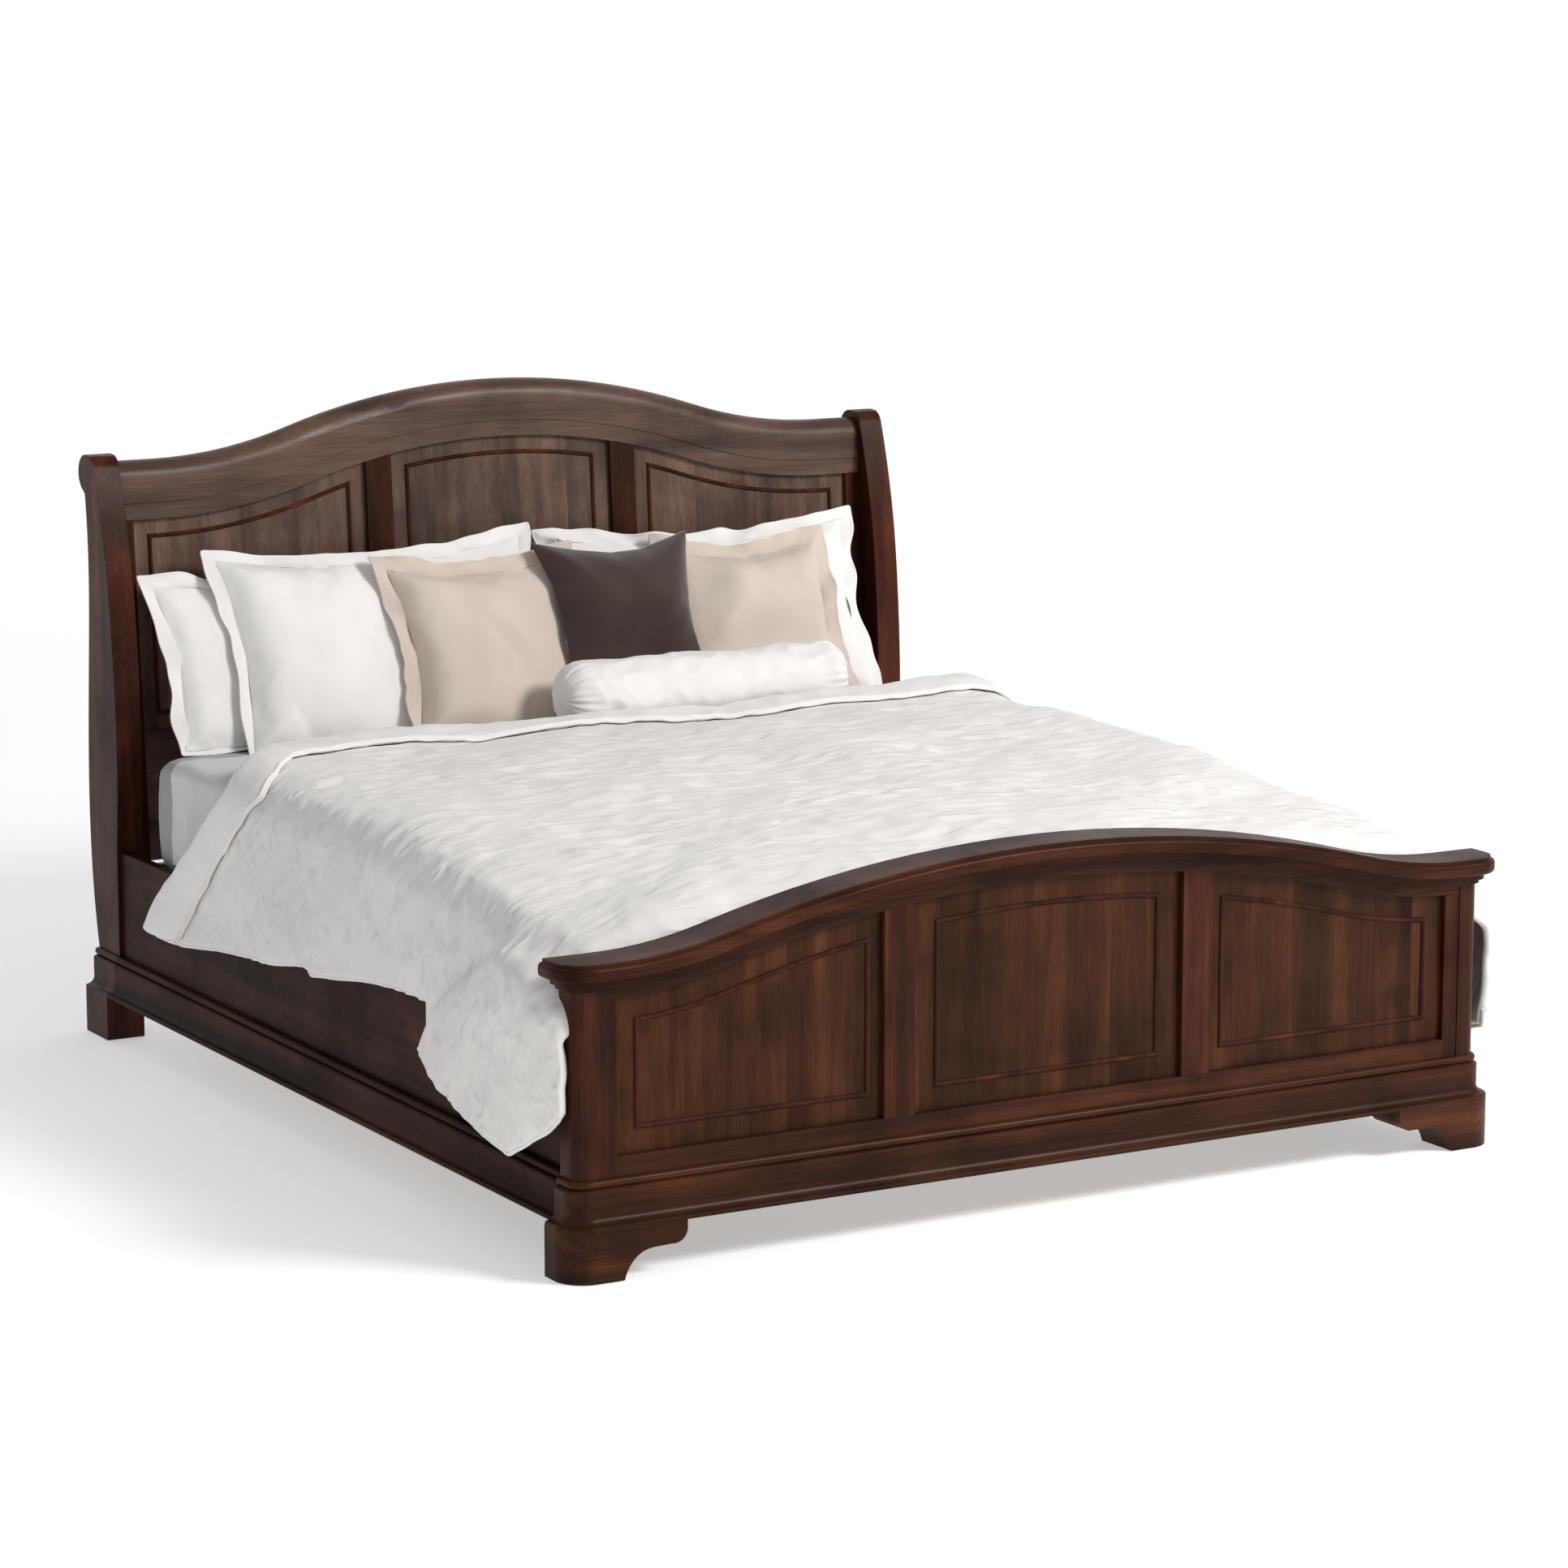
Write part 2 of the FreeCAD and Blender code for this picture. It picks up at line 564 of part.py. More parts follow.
def make_head_post():
    """Right-hand post: a plank with a sleigh-shaped side, rolled at the top.

    Its front is flat where the side rail meets it.
    """
    top = HEAD_END_HEIGHT + EAR_HEIGHT
    face = HEAD_FRONT
    upper = top - MATTRESS_TOP
    lower = MATTRESS_TOP - BASE_TOP
    radius = ROLL_RADIUS + 2.0
    roll_y = leant_y(HEAD_END_HEIGHT) + ROLL_RADIUS - 6.0
    roll_z = top - radius
    flat_low = V(0, face, BASE_TOP)
    flat_top = V(0, face, RAIL_TOP + 10)
    front = [flat_top, V(0, face - 12, MATTRESS_TOP), V(0, face - 1, MATTRESS_TOP + 0.32 * upper),
             V(0, face + 17, MATTRESS_TOP + 0.56 * upper), V(0, face + 47, MATTRESS_TOP + 0.78 * upper),
             V(0, roll_y - 50, top - 30)]
    back_low = HEAD_BLOCK_BACK - 4
    turn = math.radians(-65)
    notch = V(0, roll_y + radius * math.cos(turn), roll_z + radius * math.sin(turn))
    back = [notch + V(0, -10, -7), V(0, back_low + 9, MATTRESS_TOP + 0.61 * upper),
            V(0, back_low + 20, MATTRESS_TOP + 0.3 * upper), V(0, back_low + 38, BASE_TOP + 0.74 * lower),
            V(0, back_low + 32, BASE_TOP + 0.41 * lower), V(0, back_low, BASE_TOP)]
    front_curve = Part.BSplineCurve()
    front_curve.interpolate(front)
    back_curve = Part.BSplineCurve()
    back_curve.interpolate(back)
    roll_top = V(0, roll_y, top)
    shoulder = V(0, roll_y - 24, top - 2)
    crown = Part.Arc(front[-1], V(0, roll_y - 39, top - 11), shoulder)
    roll = Part.Arc(roll_top, V(0, roll_y + radius, roll_z), notch)
    edges = [Part.makeLine(flat_low, flat_top), front_curve.toShape(), crown.toShape(),
             Part.makeLine(shoulder, roll_top), roll.toShape(), Part.makeLine(notch, back[0]),
             back_curve.toShape(), Part.makeLine(back[-1], flat_low)]
    side_face = Part.Face(Part.Wire(Part.__sortEdges__(edges)))
    post = side_face.extrude(V(HEAD_POST_THICK, 0, 0))
    post.translate(V(HEAD_POST_INNER, 0, 0))
    return post


def make_head_block():
    inner = HEAD_POST_INNER + HEAD_BLOCK_SET_IN
    outer = HEAD_POST_OUTER
    moulding = extrude_y(base_profile(inner, outer), HEAD_FRONT, HEAD_BLOCK_BACK)
    foot = box(inner, outer + BASE_OUT, HEAD_FRONT, HEAD_BLOCK_BACK, 0, FOOT_HEIGHT)
    return fuse_all([moulding, foot])


def crest_profile():
    """Section of the crest rail: flat front, rolled top and back."""
    face = HEAD_FACE
    top = HEAD_END_HEIGHT
    low = top - CREST_HEIGHT
    radius = ROLL_RADIUS
    centre = V(0, face + radius, top - radius)
    half = math.sqrt(0.5) * radius
    heel = centre + V(0, radius * math.cos(math.radians(-60)), radius * math.sin(math.radians(-60)))
    edges = [Part.makeLine(V(0, face, low), V(0, face, top - radius)),
             Part.Arc(V(0, face, top - radius), centre + V(0, -half, half), centre + V(0, 0, radius)).toShape(),
             Part.Arc(centre + V(0, 0, radius), centre + V(0, radius, 0), heel).toShape(),
             Part.makeLine(heel, V(0, face + CREST_THICK, low + 12)),
             Part.makeLine(V(0, face + CREST_THICK, low + 12), V(0, face + CREST_THICK, low)),
             Part.makeLine(V(0, face + CREST_THICK, low), V(0, face, low))]
    return Part.Wire(edges)


def make_head_crest():
    """Crest rail swept along the arch between the posts."""
    profile = crest_profile()
    profile.translate(V(-HEAD_POST_INNER, 0, 0))
    spine = Part.Wire(HEAD_ARCH.edges(HEAD_POST_INNER, 0))
    spine.translate(V(0, HEAD_FACE, 0))
    return spine.makePipeShell([profile], True, False)


def head_opening(x0, x1, grow, y0, y1):
    drop = CREST_HEIGHT + BAND_HEIGHT
    under = HEAD_ARCH.below(HEAD_POST_INNER, drop - grow, HEAD_OPENING_BOTTOM - grow, y0, y1)
    high = HEAD_END_HEIGHT + HEAD_RISE
    return under.common(box(x0 - grow, x1 + grow, y0, y1, HEAD_OPENING_BOTTOM - grow, high))


def head_board(x0, x1, z0, y0, y1):
    under = HEAD_ARCH.below(HEAD_POST_INNER, CREST_HEIGHT + BAND_HEIGHT, z0, y0, y1)
    return under.common(box(x0, x1, y0, y1, z0, HEAD_END_HEIGHT + HEAD_RISE))


def head_panels():
    mullion_out = HEAD_MULLION_IN + HEAD_MULLION_WIDTH
    opening_out = HEAD_POST_INNER - HEAD_STILE_WIDTH
    outer, inner, centre = HEAD_BEAD_SIDES
    return [("left", -opening_out, -mullion_out, outer, inner),
            ("centre", -HEAD_MULLION_IN, HEAD_MULLION_IN, centre, centre),
            ("right", mullion_out, opening_out, inner, outer)]


def build_headboard():
    face = HEAD_FACE + 2 * FRAME_STEP
    back = face + HEAD_FRAME_THICK
    opening_out = HEAD_POST_INNER - HEAD_STILE_WIDTH
    mullion_out = HEAD_MULLION_IN + HEAD_MULLION_WIDTH
    panels = head_panels()
    base = HEAD_OPENING_BOTTOM - HEAD_BOTTOM_RAIL
    band = HEAD_ARCH.between(HEAD_POST_INNER, CREST_HEIGHT, CREST_HEIGHT + BAND_HEIGHT,
                             HEAD_FACE + FRAME_STEP, back)
    bottom_rail = box(-opening_out, opening_out, face, back, base, HEAD_OPENING_BOTTOM)
    stile = head_board(opening_out, HEAD_POST_INNER, base, face, back)
    mullion = head_board(HEAD_MULLION_IN, mullion_out, HEAD_OPENING_BOTTOM, face, back)
    beads = []
    for name, x0, x1, left, right in panels:
        near = face + PANEL_RECESS
        save(lean(head_opening(x0, x1, PANEL_TONGUE, near, near + PANEL_THICK)), "head_panel_" + name)
        ring = bead_ring(head_opening, x0, x1, left, right, HEAD_BEAD_INSET, face)
        beads.append(lean(ring))
    save(group(beads), "head_panel_beads")
    save(lean(make_head_crest()), "head_crest_rail")
    save(lean(cut_grooves(band, head_opening, panels, face)), "head_top_rail")
    save(lean(cut_grooves(bottom_rail, head_opening, panels, face)), "head_bottom_rail")
    stile = lean(cut_grooves(stile, head_opening, panels, face))
    mullion = lean(cut_grooves(mullion, head_opening, panels, face))
    for side, turn in (("right", lambda s: s), ("left", mirror_x)):
        save(turn(stile), "head_stile_" + side)
        save(turn(mullion), "head_mullion_" + side)
        save(turn(make_head_block()), "head_block_" + side)
    stretcher = box(-HEAD_POST_INNER, HEAD_POST_INNER, HEAD_FACE, HEAD_FACE + STRETCHER_THICK,
                    SLAT_UNDER - STRETCHER_HEIGHT, SLAT_UNDER)
    save(stretcher, "head_stretcher")
    return make_head_post()


# ---------------------------------------------------------------- rails
def screw(point, direction):
    """Countersunk wood screw with its head flush at point."""
    cone = Part.makeCone(SCREW_HEAD_RADIUS, SCREW_RADIUS, SCREW_HEAD_HEIGHT, point, direction)
    shank = Part.makeCylinder(SCREW_RADIUS, SCREW_LENGTH - SCREW_HEAD_HEIGHT,
                              point + direction * SCREW_HEAD_HEIGHT, direction)
    return cone.fuse(shank).removeSplitter()


def plate_blank(x, y, into, clear):
    """Plate let into an end face; into is +1 or -1 along the bed."""
    y0 = min(y, y + into * PLATE_THICK)
    return box(x - PLATE_WIDTH / 2 - clear, x + PLATE_WIDTH / 2 + clear, y0, y0 + PLATE_THICK,
               PLATE_MID_HEIGHT - PLATE_HEIGHT / 2 - clear, PLATE_MID_HEIGHT + PLATE_HEIGHT / 2 + clear)


def hook_blocks(x, y, into, clear):
    """The two hooks that reach from the rail's end into the post."""
    hooks = []
    for side in (-1, 1):
        z = PLATE_MID_HEIGHT + side * HOOK_SPACING / 2
        y0 = min(y, y + into * (HOOK_REACH + clear))
        hooks.append(box(x - HOOK_THICK / 2 - clear, x + HOOK_THICK / 2 + clear, y0,
                         y0 + HOOK_REACH + clear, z - HOOK_HEIGHT / 2 - clear,
                         z + HOOK_HEIGHT / 2 + clear))
    return hooks


def build_rails(foot_post, head_post):
    """Side rails, their moulding, cleats and the hook hardware at both ends."""
    y0 = FOOT_POST_BACK
    y1 = HEAD_FRONT
    x = HOOK_LINE
    rail = box(RAIL_INNER, RAIL_OUTER, y0, y1, RAIL_BOTTOM, RAIL_TOP)
    rail = soften(rail, 4.0, lambda edge: is_top_edge(edge, RAIL_TOP))
    moulding = extrude_y(base_profile(RAIL_OUTER, HEAD_POST_OUTER), y0, y1)
    cleat = box(RAIL_INNER - CLEAT_SIZE, RAIL_INNER, y0 + 20, y1 - 20, SLAT_UNDER - CLEAT_SIZE, SLAT_UNDER)
    hook_plates = []
    slot_plates = []
    screws = []
    for y, into, post in ((y0, -1, foot_post), (y1, 1, head_post)):
        rail_plate = plate_blank(x, y, -into, 0)
        post_plate = plate_blank(x, y, into, 0)
        rail = rail.cut(rail_plate)
        hooks = hook_blocks(x, y, into, 0)
        for room in hook_blocks(x, y, into, HOOK_CLEAR):
            post_plate = post_plate.cut(room)
            post = post.cut(room)
        post = post.cut(plate_blank(x, y, into, 0))
        for side in (-1, 1):
            z = PLATE_MID_HEIGHT + side * (PLATE_HEIGHT / 2 - 10)
            driven = screw(V(x, y, z), V(0, -into, 0))
            rail_plate = rail_plate.cut(driven)
            rail = rail.cut(driven)
            held = screw(V(x, y, z), V(0, into, 0))
            post_plate = post_plate.cut(held)
            post = post.cut(held)
            screws += [driven, held]
        hook_plates.append(fuse_all([rail_plate] + hooks))
        slot_plates.append(post_plate)
        if into < 0:
            foot_post = post
        else:
            head_post = post
    slats, slat_screws = make_slats()
    for driven in slat_screws:
        cleat = cleat.cut(driven)
    both = screws + slat_screws
    save(group(hook_plates + [mirror_x(plate) for plate in hook_plates]), "rail_hook_plates")
    save(group(slot_plates + [mirror_x(plate) for plate in slot_plates]), "post_slot_plates")
    save(group(both + [mirror_x(driven) for driven in both]), "wood_screws")
    save(group(slats), "slats")
    for side, turn in (("right", lambda s: s), ("left", mirror_x)):
        save(turn(rail), "side_rail_" + side)
        save(turn(moulding), "rail_moulding_" + side)
        save(turn(cleat), "slat_cleat_" + side)
        save(turn(foot_post), "foot_post_" + side)
        save(turn(head_post), "head_post_" + side)


def is_top_edge(edge, z):
    return all(abs(vertex.Point.z - z) < 0.01 for vertex in edge.Vertexes)


# ---------------------------------------------------------------- slats and support
def make_slats():
    """All slats, and the screws at their right-hand ends."""
    half = RAIL_INNER - SLAT_END_CLEAR
    first = MATTRESS_FOOT + SLAT_WIDTH / 2
    pitch = (MATTRESS_LENGTH - SLAT_WIDTH) / (SLAT_COUNT - 1)
    slats = []
    screws = []
    for index in range(SLAT_COUNT):
        y = first + index * pitch
        slat = box(-half, half, y - SLAT_WIDTH / 2, y + SLAT_WIDTH / 2, SLAT_UNDER, SLAT_TOP)
        driven = screw(V(RAIL_INNER - CLEAT_SIZE / 2, y, SLAT_TOP), V(0, 0, -1))
        slat = slat.cut(driven).cut(mirror_x(driven))
        slats.append(slat)
        screws.append(driven)
    return slats, screws


def leg_stations():
    middle = (MATTRESS_FOOT + MATTRESS_HEAD) / 2
    return [("foot", middle - LEG_SPACING), ("middle", middle), ("head", middle + LEG_SPACING)]


def build_support():
    """Centre beam on steel saddles, its legs and their levellers."""
    y0 = FOOT_FRAME_BACK + BRACKET_PLATE
    y1 = HEAD_FACE - BRACKET_PLATE
    half = BEAM_WIDTH / 2
    save(box(-half, half, y0, y1, BEAM_UNDER, SLAT_UNDER), "centre_beam")
    saddles = []
    for face, into in ((FOOT_FRAME_BACK, 1), (HEAD_FACE, -1)):
        saddles.append(make_saddle(face, into))
    save(group(saddles), "beam_saddles")
    legs = []
    bore = LEVELLER_STEM_RADIUS + LEVELLER_BORE_CLEAR
    bore_top = LEVELLER_DISC_THICK + LEVELLER_STEM_LENGTH + LEVELLER_TRAVEL + 5
    for name, y in leg_stations():
        leg = box(-LEG_SIZE / 2, LEG_SIZE / 2, y - LEG_SIZE / 2, y + LEG_SIZE / 2, LEG_CLEAR, BEAM_UNDER)
        legs.append(leg.cut(Part.makeCylinder(bore, bore_top - LEG_CLEAR, V(0, y, LEG_CLEAR), Z_AXIS)))
        disc = Part.makeCylinder(LEVELLER_DISC_RADIUS, LEVELLER_DISC_THICK, V(0, y, 0), Z_AXIS)
        disc = soften(disc, 2.0, lambda edge: is_top_edge(edge, LEVELLER_DISC_THICK))
        stem = Part.makeCylinder(LEVELLER_STEM_RADIUS, LEVELLER_STEM_LENGTH,
                                 V(0, y, LEVELLER_DISC_THICK), Z_AXIS)
        save(disc.fuse(stem).removeSplitter(), "leveller_" + name)
    save(group(legs), "centre_legs")


def make_saddle(face, into):
    """Steel U-shaped saddle that holds one end of the centre beam."""
    plate = BRACKET_PLATE
    half = BEAM_WIDTH / 2
    reach = 40.0
    y0 = min(face, face + into * reach)
    outer = box(-half - plate, half + plate, y0, y0 + reach, BEAM_UNDER - plate, SLAT_UNDER - 5)
    back = min(face + into * plate, face + into * reach)
    room = box(-half, half, back, back + reach - plate, BEAM_UNDER, SLAT_UNDER)
    return outer.cut(room)


# ---------------------------------------------------------------- bedding
def make_mattress():
    half = MATTRESS_WIDTH / 2
    block = box(-half, half, MATTRESS_FOOT, MATTRESS_HEAD, SLEEP_BASE_HEIGHT, MATTRESS_TOP)

    def is_corner(edge):
        low = edge.Vertexes[0].Point
        high = edge.Vertexes[-1].Point
        return abs(low.x - high.x) < 0.01 and abs(low.y - high.y) < 0.01
    block = soften(block, MATTRESS_CORNER, is_corner)
    return soften(block, MATTRESS_EDGE, lambda edge: is_level(edge))


def is_level(edge):
    return abs(edge.BoundBox.ZMax - edge.BoundBox.ZMin) < 0.01


def channel(x_in, x_out, z_top, z_under, z_low, y0, y1):
    """Downward-open channel that lies over the mattress and hangs at its sides."""
    outer = box(-x_out, x_out, y0, y1, z_low, z_top)
    room = box(-x_in, x_in, y0 - 1, y1 + 1, z_low - 1, z_under)
    return outer.cut(room)


def build_bedding():
    save(make_mattress(), "mattress")
    half = MATTRESS_WIDTH / 2
    under = MATTRESS_TOP + SOFT_CLEAR
    top = under + COVERLET_THICK
    x_in = half + SOFT_CLEAR
    coverlet = channel(x_in, x_in + COVERLET_THICK, top, under, RAIL_TOP + COVERLET_ABOVE_RAIL,
                       MATTRESS_FOOT, MATTRESS_HEAD - COVERLET_HEAD_BARE)
    save(coverlet, "coverlet")

    duvet_under = top + SOFT_CLEAR
    duvet_top = duvet_under + DUVET_THICK
    duvet_in = RAIL_OUTER + DUVET_RAIL_CLEAR
    duvet_out = duvet_in + DUVET_SIDE_THICK
    foot = CAP_BACK + DUVET_FOOT_CLEAR
    head = MATTRESS_HEAD - DUVET_HEAD_BARE
    duvet = channel(duvet_in, duvet_out, duvet_top, duvet_under, DUVET_HEM_HEIGHT, foot, head)
    duvet = soften(duvet, DUVET_THICK * 0.8, lambda edge: is_rim(edge, duvet_top, duvet_out))
    save(duvet, "duvet")
    build_pillows(top + SOFT_CLEAR)


def is_rim(edge, z, x):
    return all(abs(vertex.Point.z - z) < 0.01 and abs(abs(vertex.Point.x) - x) < 0.01
               for vertex in edge.Vertexes)


# From back to front: name, middle in X as a share of the mattress width, width as a
# share of it, height, thickness.  Pillows of one row stand side by side.
PILLOW_ROWS = [
    [("white_sham_back_left", -0.262, 0.446, 425.0, 40.0),
     ("white_sham_back_right", 0.245, 0.420, 425.0, 40.0)],
    [("white_sham_front_left", -0.194, 0.430, 470.0, 44.0),
     ("white_sham_front_right", 0.2415, 0.435, 470.0, 44.0)],
    [("beige_sham_left", -0.0765, 0.270, 435.0, 34.0),
     ("beige_sham_right", 0.2845, 0.258, 435.0, 34.0)],
    [("brown_cushion", 0.098, 0.219, 440.0, 32.0)]]
PILLOW_LEAN_DEG = 26.0
PILLOW_ROUND = 0.42
PILLOW_CLEAR = 2.0
BOLSTER_RADIUS = 80.0
BOLSTER_LENGTH_SHARE = 0.383
BOLSTER_MIDDLE_SHARE = 0.148
BOLSTER_ROUND = 28.0


def make_pillow(middle, y, width, height, thick, z):
    """Rounded block leaning back about its lower back edge, on which it rests."""
    pillow = box(middle - width / 2, middle + width / 2, y - thick, y, z, z + height)
    pillow = pillow.makeFillet(thick * PILLOW_ROUND, pillow.Edges)
    pillow.rotate(V(0, y, z), X_AXIS, -PILLOW_LEAN_DEG)
    return pillow


def build_pillows(bed_top):
    """Rows of pillows as parallel slabs, from the headboard forwards, then the bolster."""
    lean_angle = math.radians(PILLOW_LEAN_DEG)
    tallest = PILLOW_ROWS[0][0][3] * math.cos(lean_angle)
    touch = leant_y(bed_top + tallest) - tallest * math.tan(lean_angle)
    y = touch - PILLOW_CLEAR
    for row in PILLOW_ROWS:
        for name, middle, width, height, thick in row:
            pillow = make_pillow(middle * MATTRESS_WIDTH, y, width * MATTRESS_WIDTH, height, thick, bed_top)
            save(pillow, name)
        y -= (row[0][4] + PILLOW_CLEAR) / math.cos(lean_angle)
    length = BOLSTER_LENGTH_SHARE * MATTRESS_WIDTH
    centre_z = bed_top + BOLSTER_RADIUS
    front_plane = y + BOLSTER_RADIUS * math.tan(lean_angle)
    centre_y = front_plane - BOLSTER_RADIUS / math.cos(lean_angle)
    start = V(BOLSTER_MIDDLE_SHARE * MATTRESS_WIDTH - length / 2, centre_y, centre_z)
    bolster = Part.makeCylinder(BOLSTER_RADIUS, length, start, X_AXIS)
    bolster = bolster.makeFillet(BOLSTER_ROUND, [edge for edge in bolster.Edges if is_ring(edge)])
    save(bolster, "bolster")


def is_ring(edge):
    return abs(edge.BoundBox.XMax - edge.BoundBox.XMin) < 0.01


os.makedirs("parts", exist_ok=True)
FOOT_POST = build_footboard()
HEAD_POST = build_headboard()
build_rails(FOOT_POST, HEAD_POST)
build_support()
build_bedding()
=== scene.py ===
import json
import math

import bpy
import numpy as np
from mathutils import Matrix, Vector

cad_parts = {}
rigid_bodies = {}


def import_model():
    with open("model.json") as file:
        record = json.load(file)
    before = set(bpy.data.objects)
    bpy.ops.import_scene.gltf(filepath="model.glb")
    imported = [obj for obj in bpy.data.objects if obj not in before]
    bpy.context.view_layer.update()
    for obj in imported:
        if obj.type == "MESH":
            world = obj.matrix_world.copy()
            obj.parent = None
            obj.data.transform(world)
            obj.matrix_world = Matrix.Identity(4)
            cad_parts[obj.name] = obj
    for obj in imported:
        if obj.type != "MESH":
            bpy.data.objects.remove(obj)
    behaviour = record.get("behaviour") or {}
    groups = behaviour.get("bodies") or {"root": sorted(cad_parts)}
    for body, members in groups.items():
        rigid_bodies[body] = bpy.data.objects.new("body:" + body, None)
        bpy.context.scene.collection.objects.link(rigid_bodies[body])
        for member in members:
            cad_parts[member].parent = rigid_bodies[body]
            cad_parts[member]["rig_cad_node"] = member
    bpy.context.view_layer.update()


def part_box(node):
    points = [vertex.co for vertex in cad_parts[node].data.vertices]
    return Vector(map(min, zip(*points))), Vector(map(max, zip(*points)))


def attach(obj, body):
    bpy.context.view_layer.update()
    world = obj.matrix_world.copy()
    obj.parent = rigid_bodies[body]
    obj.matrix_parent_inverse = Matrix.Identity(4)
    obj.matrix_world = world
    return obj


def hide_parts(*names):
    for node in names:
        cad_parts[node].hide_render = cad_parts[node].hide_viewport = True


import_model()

# ------------------------------------------------------------------ places
ORIGIN_Y = 1.2236          # from the front of the bracket feet to the origin
MM = 0.001
BED_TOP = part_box("coverlet")[1][2]
MATTRESS_LO, MATTRESS_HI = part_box("mattress")


def yy(y_mm):
    """Y in metres of a station in mm behind the bracket feet."""
    return y_mm * MM - ORIGIN_Y


# ------------------------------------------------------------------ noise
def waves(seed, count, low, high, stretch=(1.0, 1.0, 1.0)):
    """Random plane waves: a smooth, repeatable noise as a function of points (n, 3)."""
    rng = np.random.default_rng(seed)
    d = rng.normal(size=(count, 3)) * np.array(stretch)
    d /= np.linalg.norm(d, axis=1)[:, None]
    k = np.exp(rng.uniform(math.log(low), math.log(high), count))
    phase = rng.uniform(0, 2 * math.pi, count)
    amp = (low / k) ** 0.5
    amp /= np.sqrt((amp ** 2).sum() / 2)

    def at(p):
        p = np.asarray(p, float)
        out = np.zeros(len(p))
        for direction, kk, ph, a in zip(d, k, phase, amp):
            out += a * np.sin(2 * math.pi * kk * (p @ direction) + ph)
        return out
    return at


def smooth(t):
    """Smooth step from 0 to 1."""
    t = np.clip(t, 0, 1)
    return t * t * (3 - 2 * t)


# ------------------------------------------------------------------ meshes
def new_object(name, verts, faces, smooth_shade=True):
    mesh = bpy.data.meshes.new(name)
    mesh.from_pydata([tuple(map(float, v)) for v in verts], [], [tuple(map(int, f)) for f in faces])
    mesh.update()
    obj = bpy.data.objects.new(name, mesh)
    bpy.context.scene.collection.objects.link(obj)
    if smooth_shade:
        mesh.polygons.foreach_set("use_smooth", [True] * len(mesh.polygons))
    return obj


def grid_faces(rows, cols, start=0, wrap_rows=False, wrap_cols=False):
    """Quads of a grid of vertices, closed in either direction if wanted."""
    faces = []
    for i in range(rows if wrap_rows else rows - 1):
        for j in range(cols if wrap_cols else cols - 1):
            a = start + i * cols + j
            b = start + i * cols + (j + 1) % cols
            c = start + ((i + 1) % rows) * cols + (j + 1) % cols
            d = start + ((i + 1) % rows) * cols + j
            faces.append((a, b, c, d))
    return faces


def subdivide(obj, levels=1):
    mod = obj.modifiers.new("smooth", "SUBSURF")
    mod.levels = levels
    mod.render_levels = levels
    return mod


# ------------------------------------------------------------------ materials
def material(name):
    mat = bpy.data.materials.new(name)
    mat.use_nodes = True
    tree = mat.node_tree
    bsdf = tree.nodes["Principled BSDF"]
    return mat, tree, bsdf


def node(tree, kind, **values):
    n = tree.nodes.new(kind)
    for key, value in values.items():
        if key in n.inputs:
            n.inputs[key].default_value = value
        else:
            setattr(n, key, value)
    return n


def link(tree, a, b):
    tree.links.new(a, b)


def ramp(tree, fac, stops):
    """Colour ramp with the given (position, colour) stops."""
    r = tree.nodes.new("ShaderNodeValToRGB")
    while len(r.color_ramp.elements) > 1:
        r.color_ramp.elements.remove(r.color_ramp.elements[-1])
    r.color_ramp.elements[0].position = stops[0][0]
    r.color_ramp.elements[0].color = (*stops[0][1], 1)
    for position, color in stops[1:]:
        e = r.color_ramp.elements.new(position)
        e.color = (*color, 1)
    link(tree, fac, r.inputs["Fac"])
    return r.outputs["Color"]


def mix(tree, fac, a, b, mode="MIX"):
    m = tree.nodes.new("ShaderNodeMix")
    m.data_type = "RGBA"
    m.blend_type = mode
    for value, socket in ((fac, m.inputs[0]), (a, m.inputs[6]), (b, m.inputs[7])):
        if isinstance(value, (int, float)):
            socket.default_value = value
        elif isinstance(value, tuple):
            socket.default_value = (*value, 1)
        else:
            link(tree, value, socket)
    return m.outputs[2]


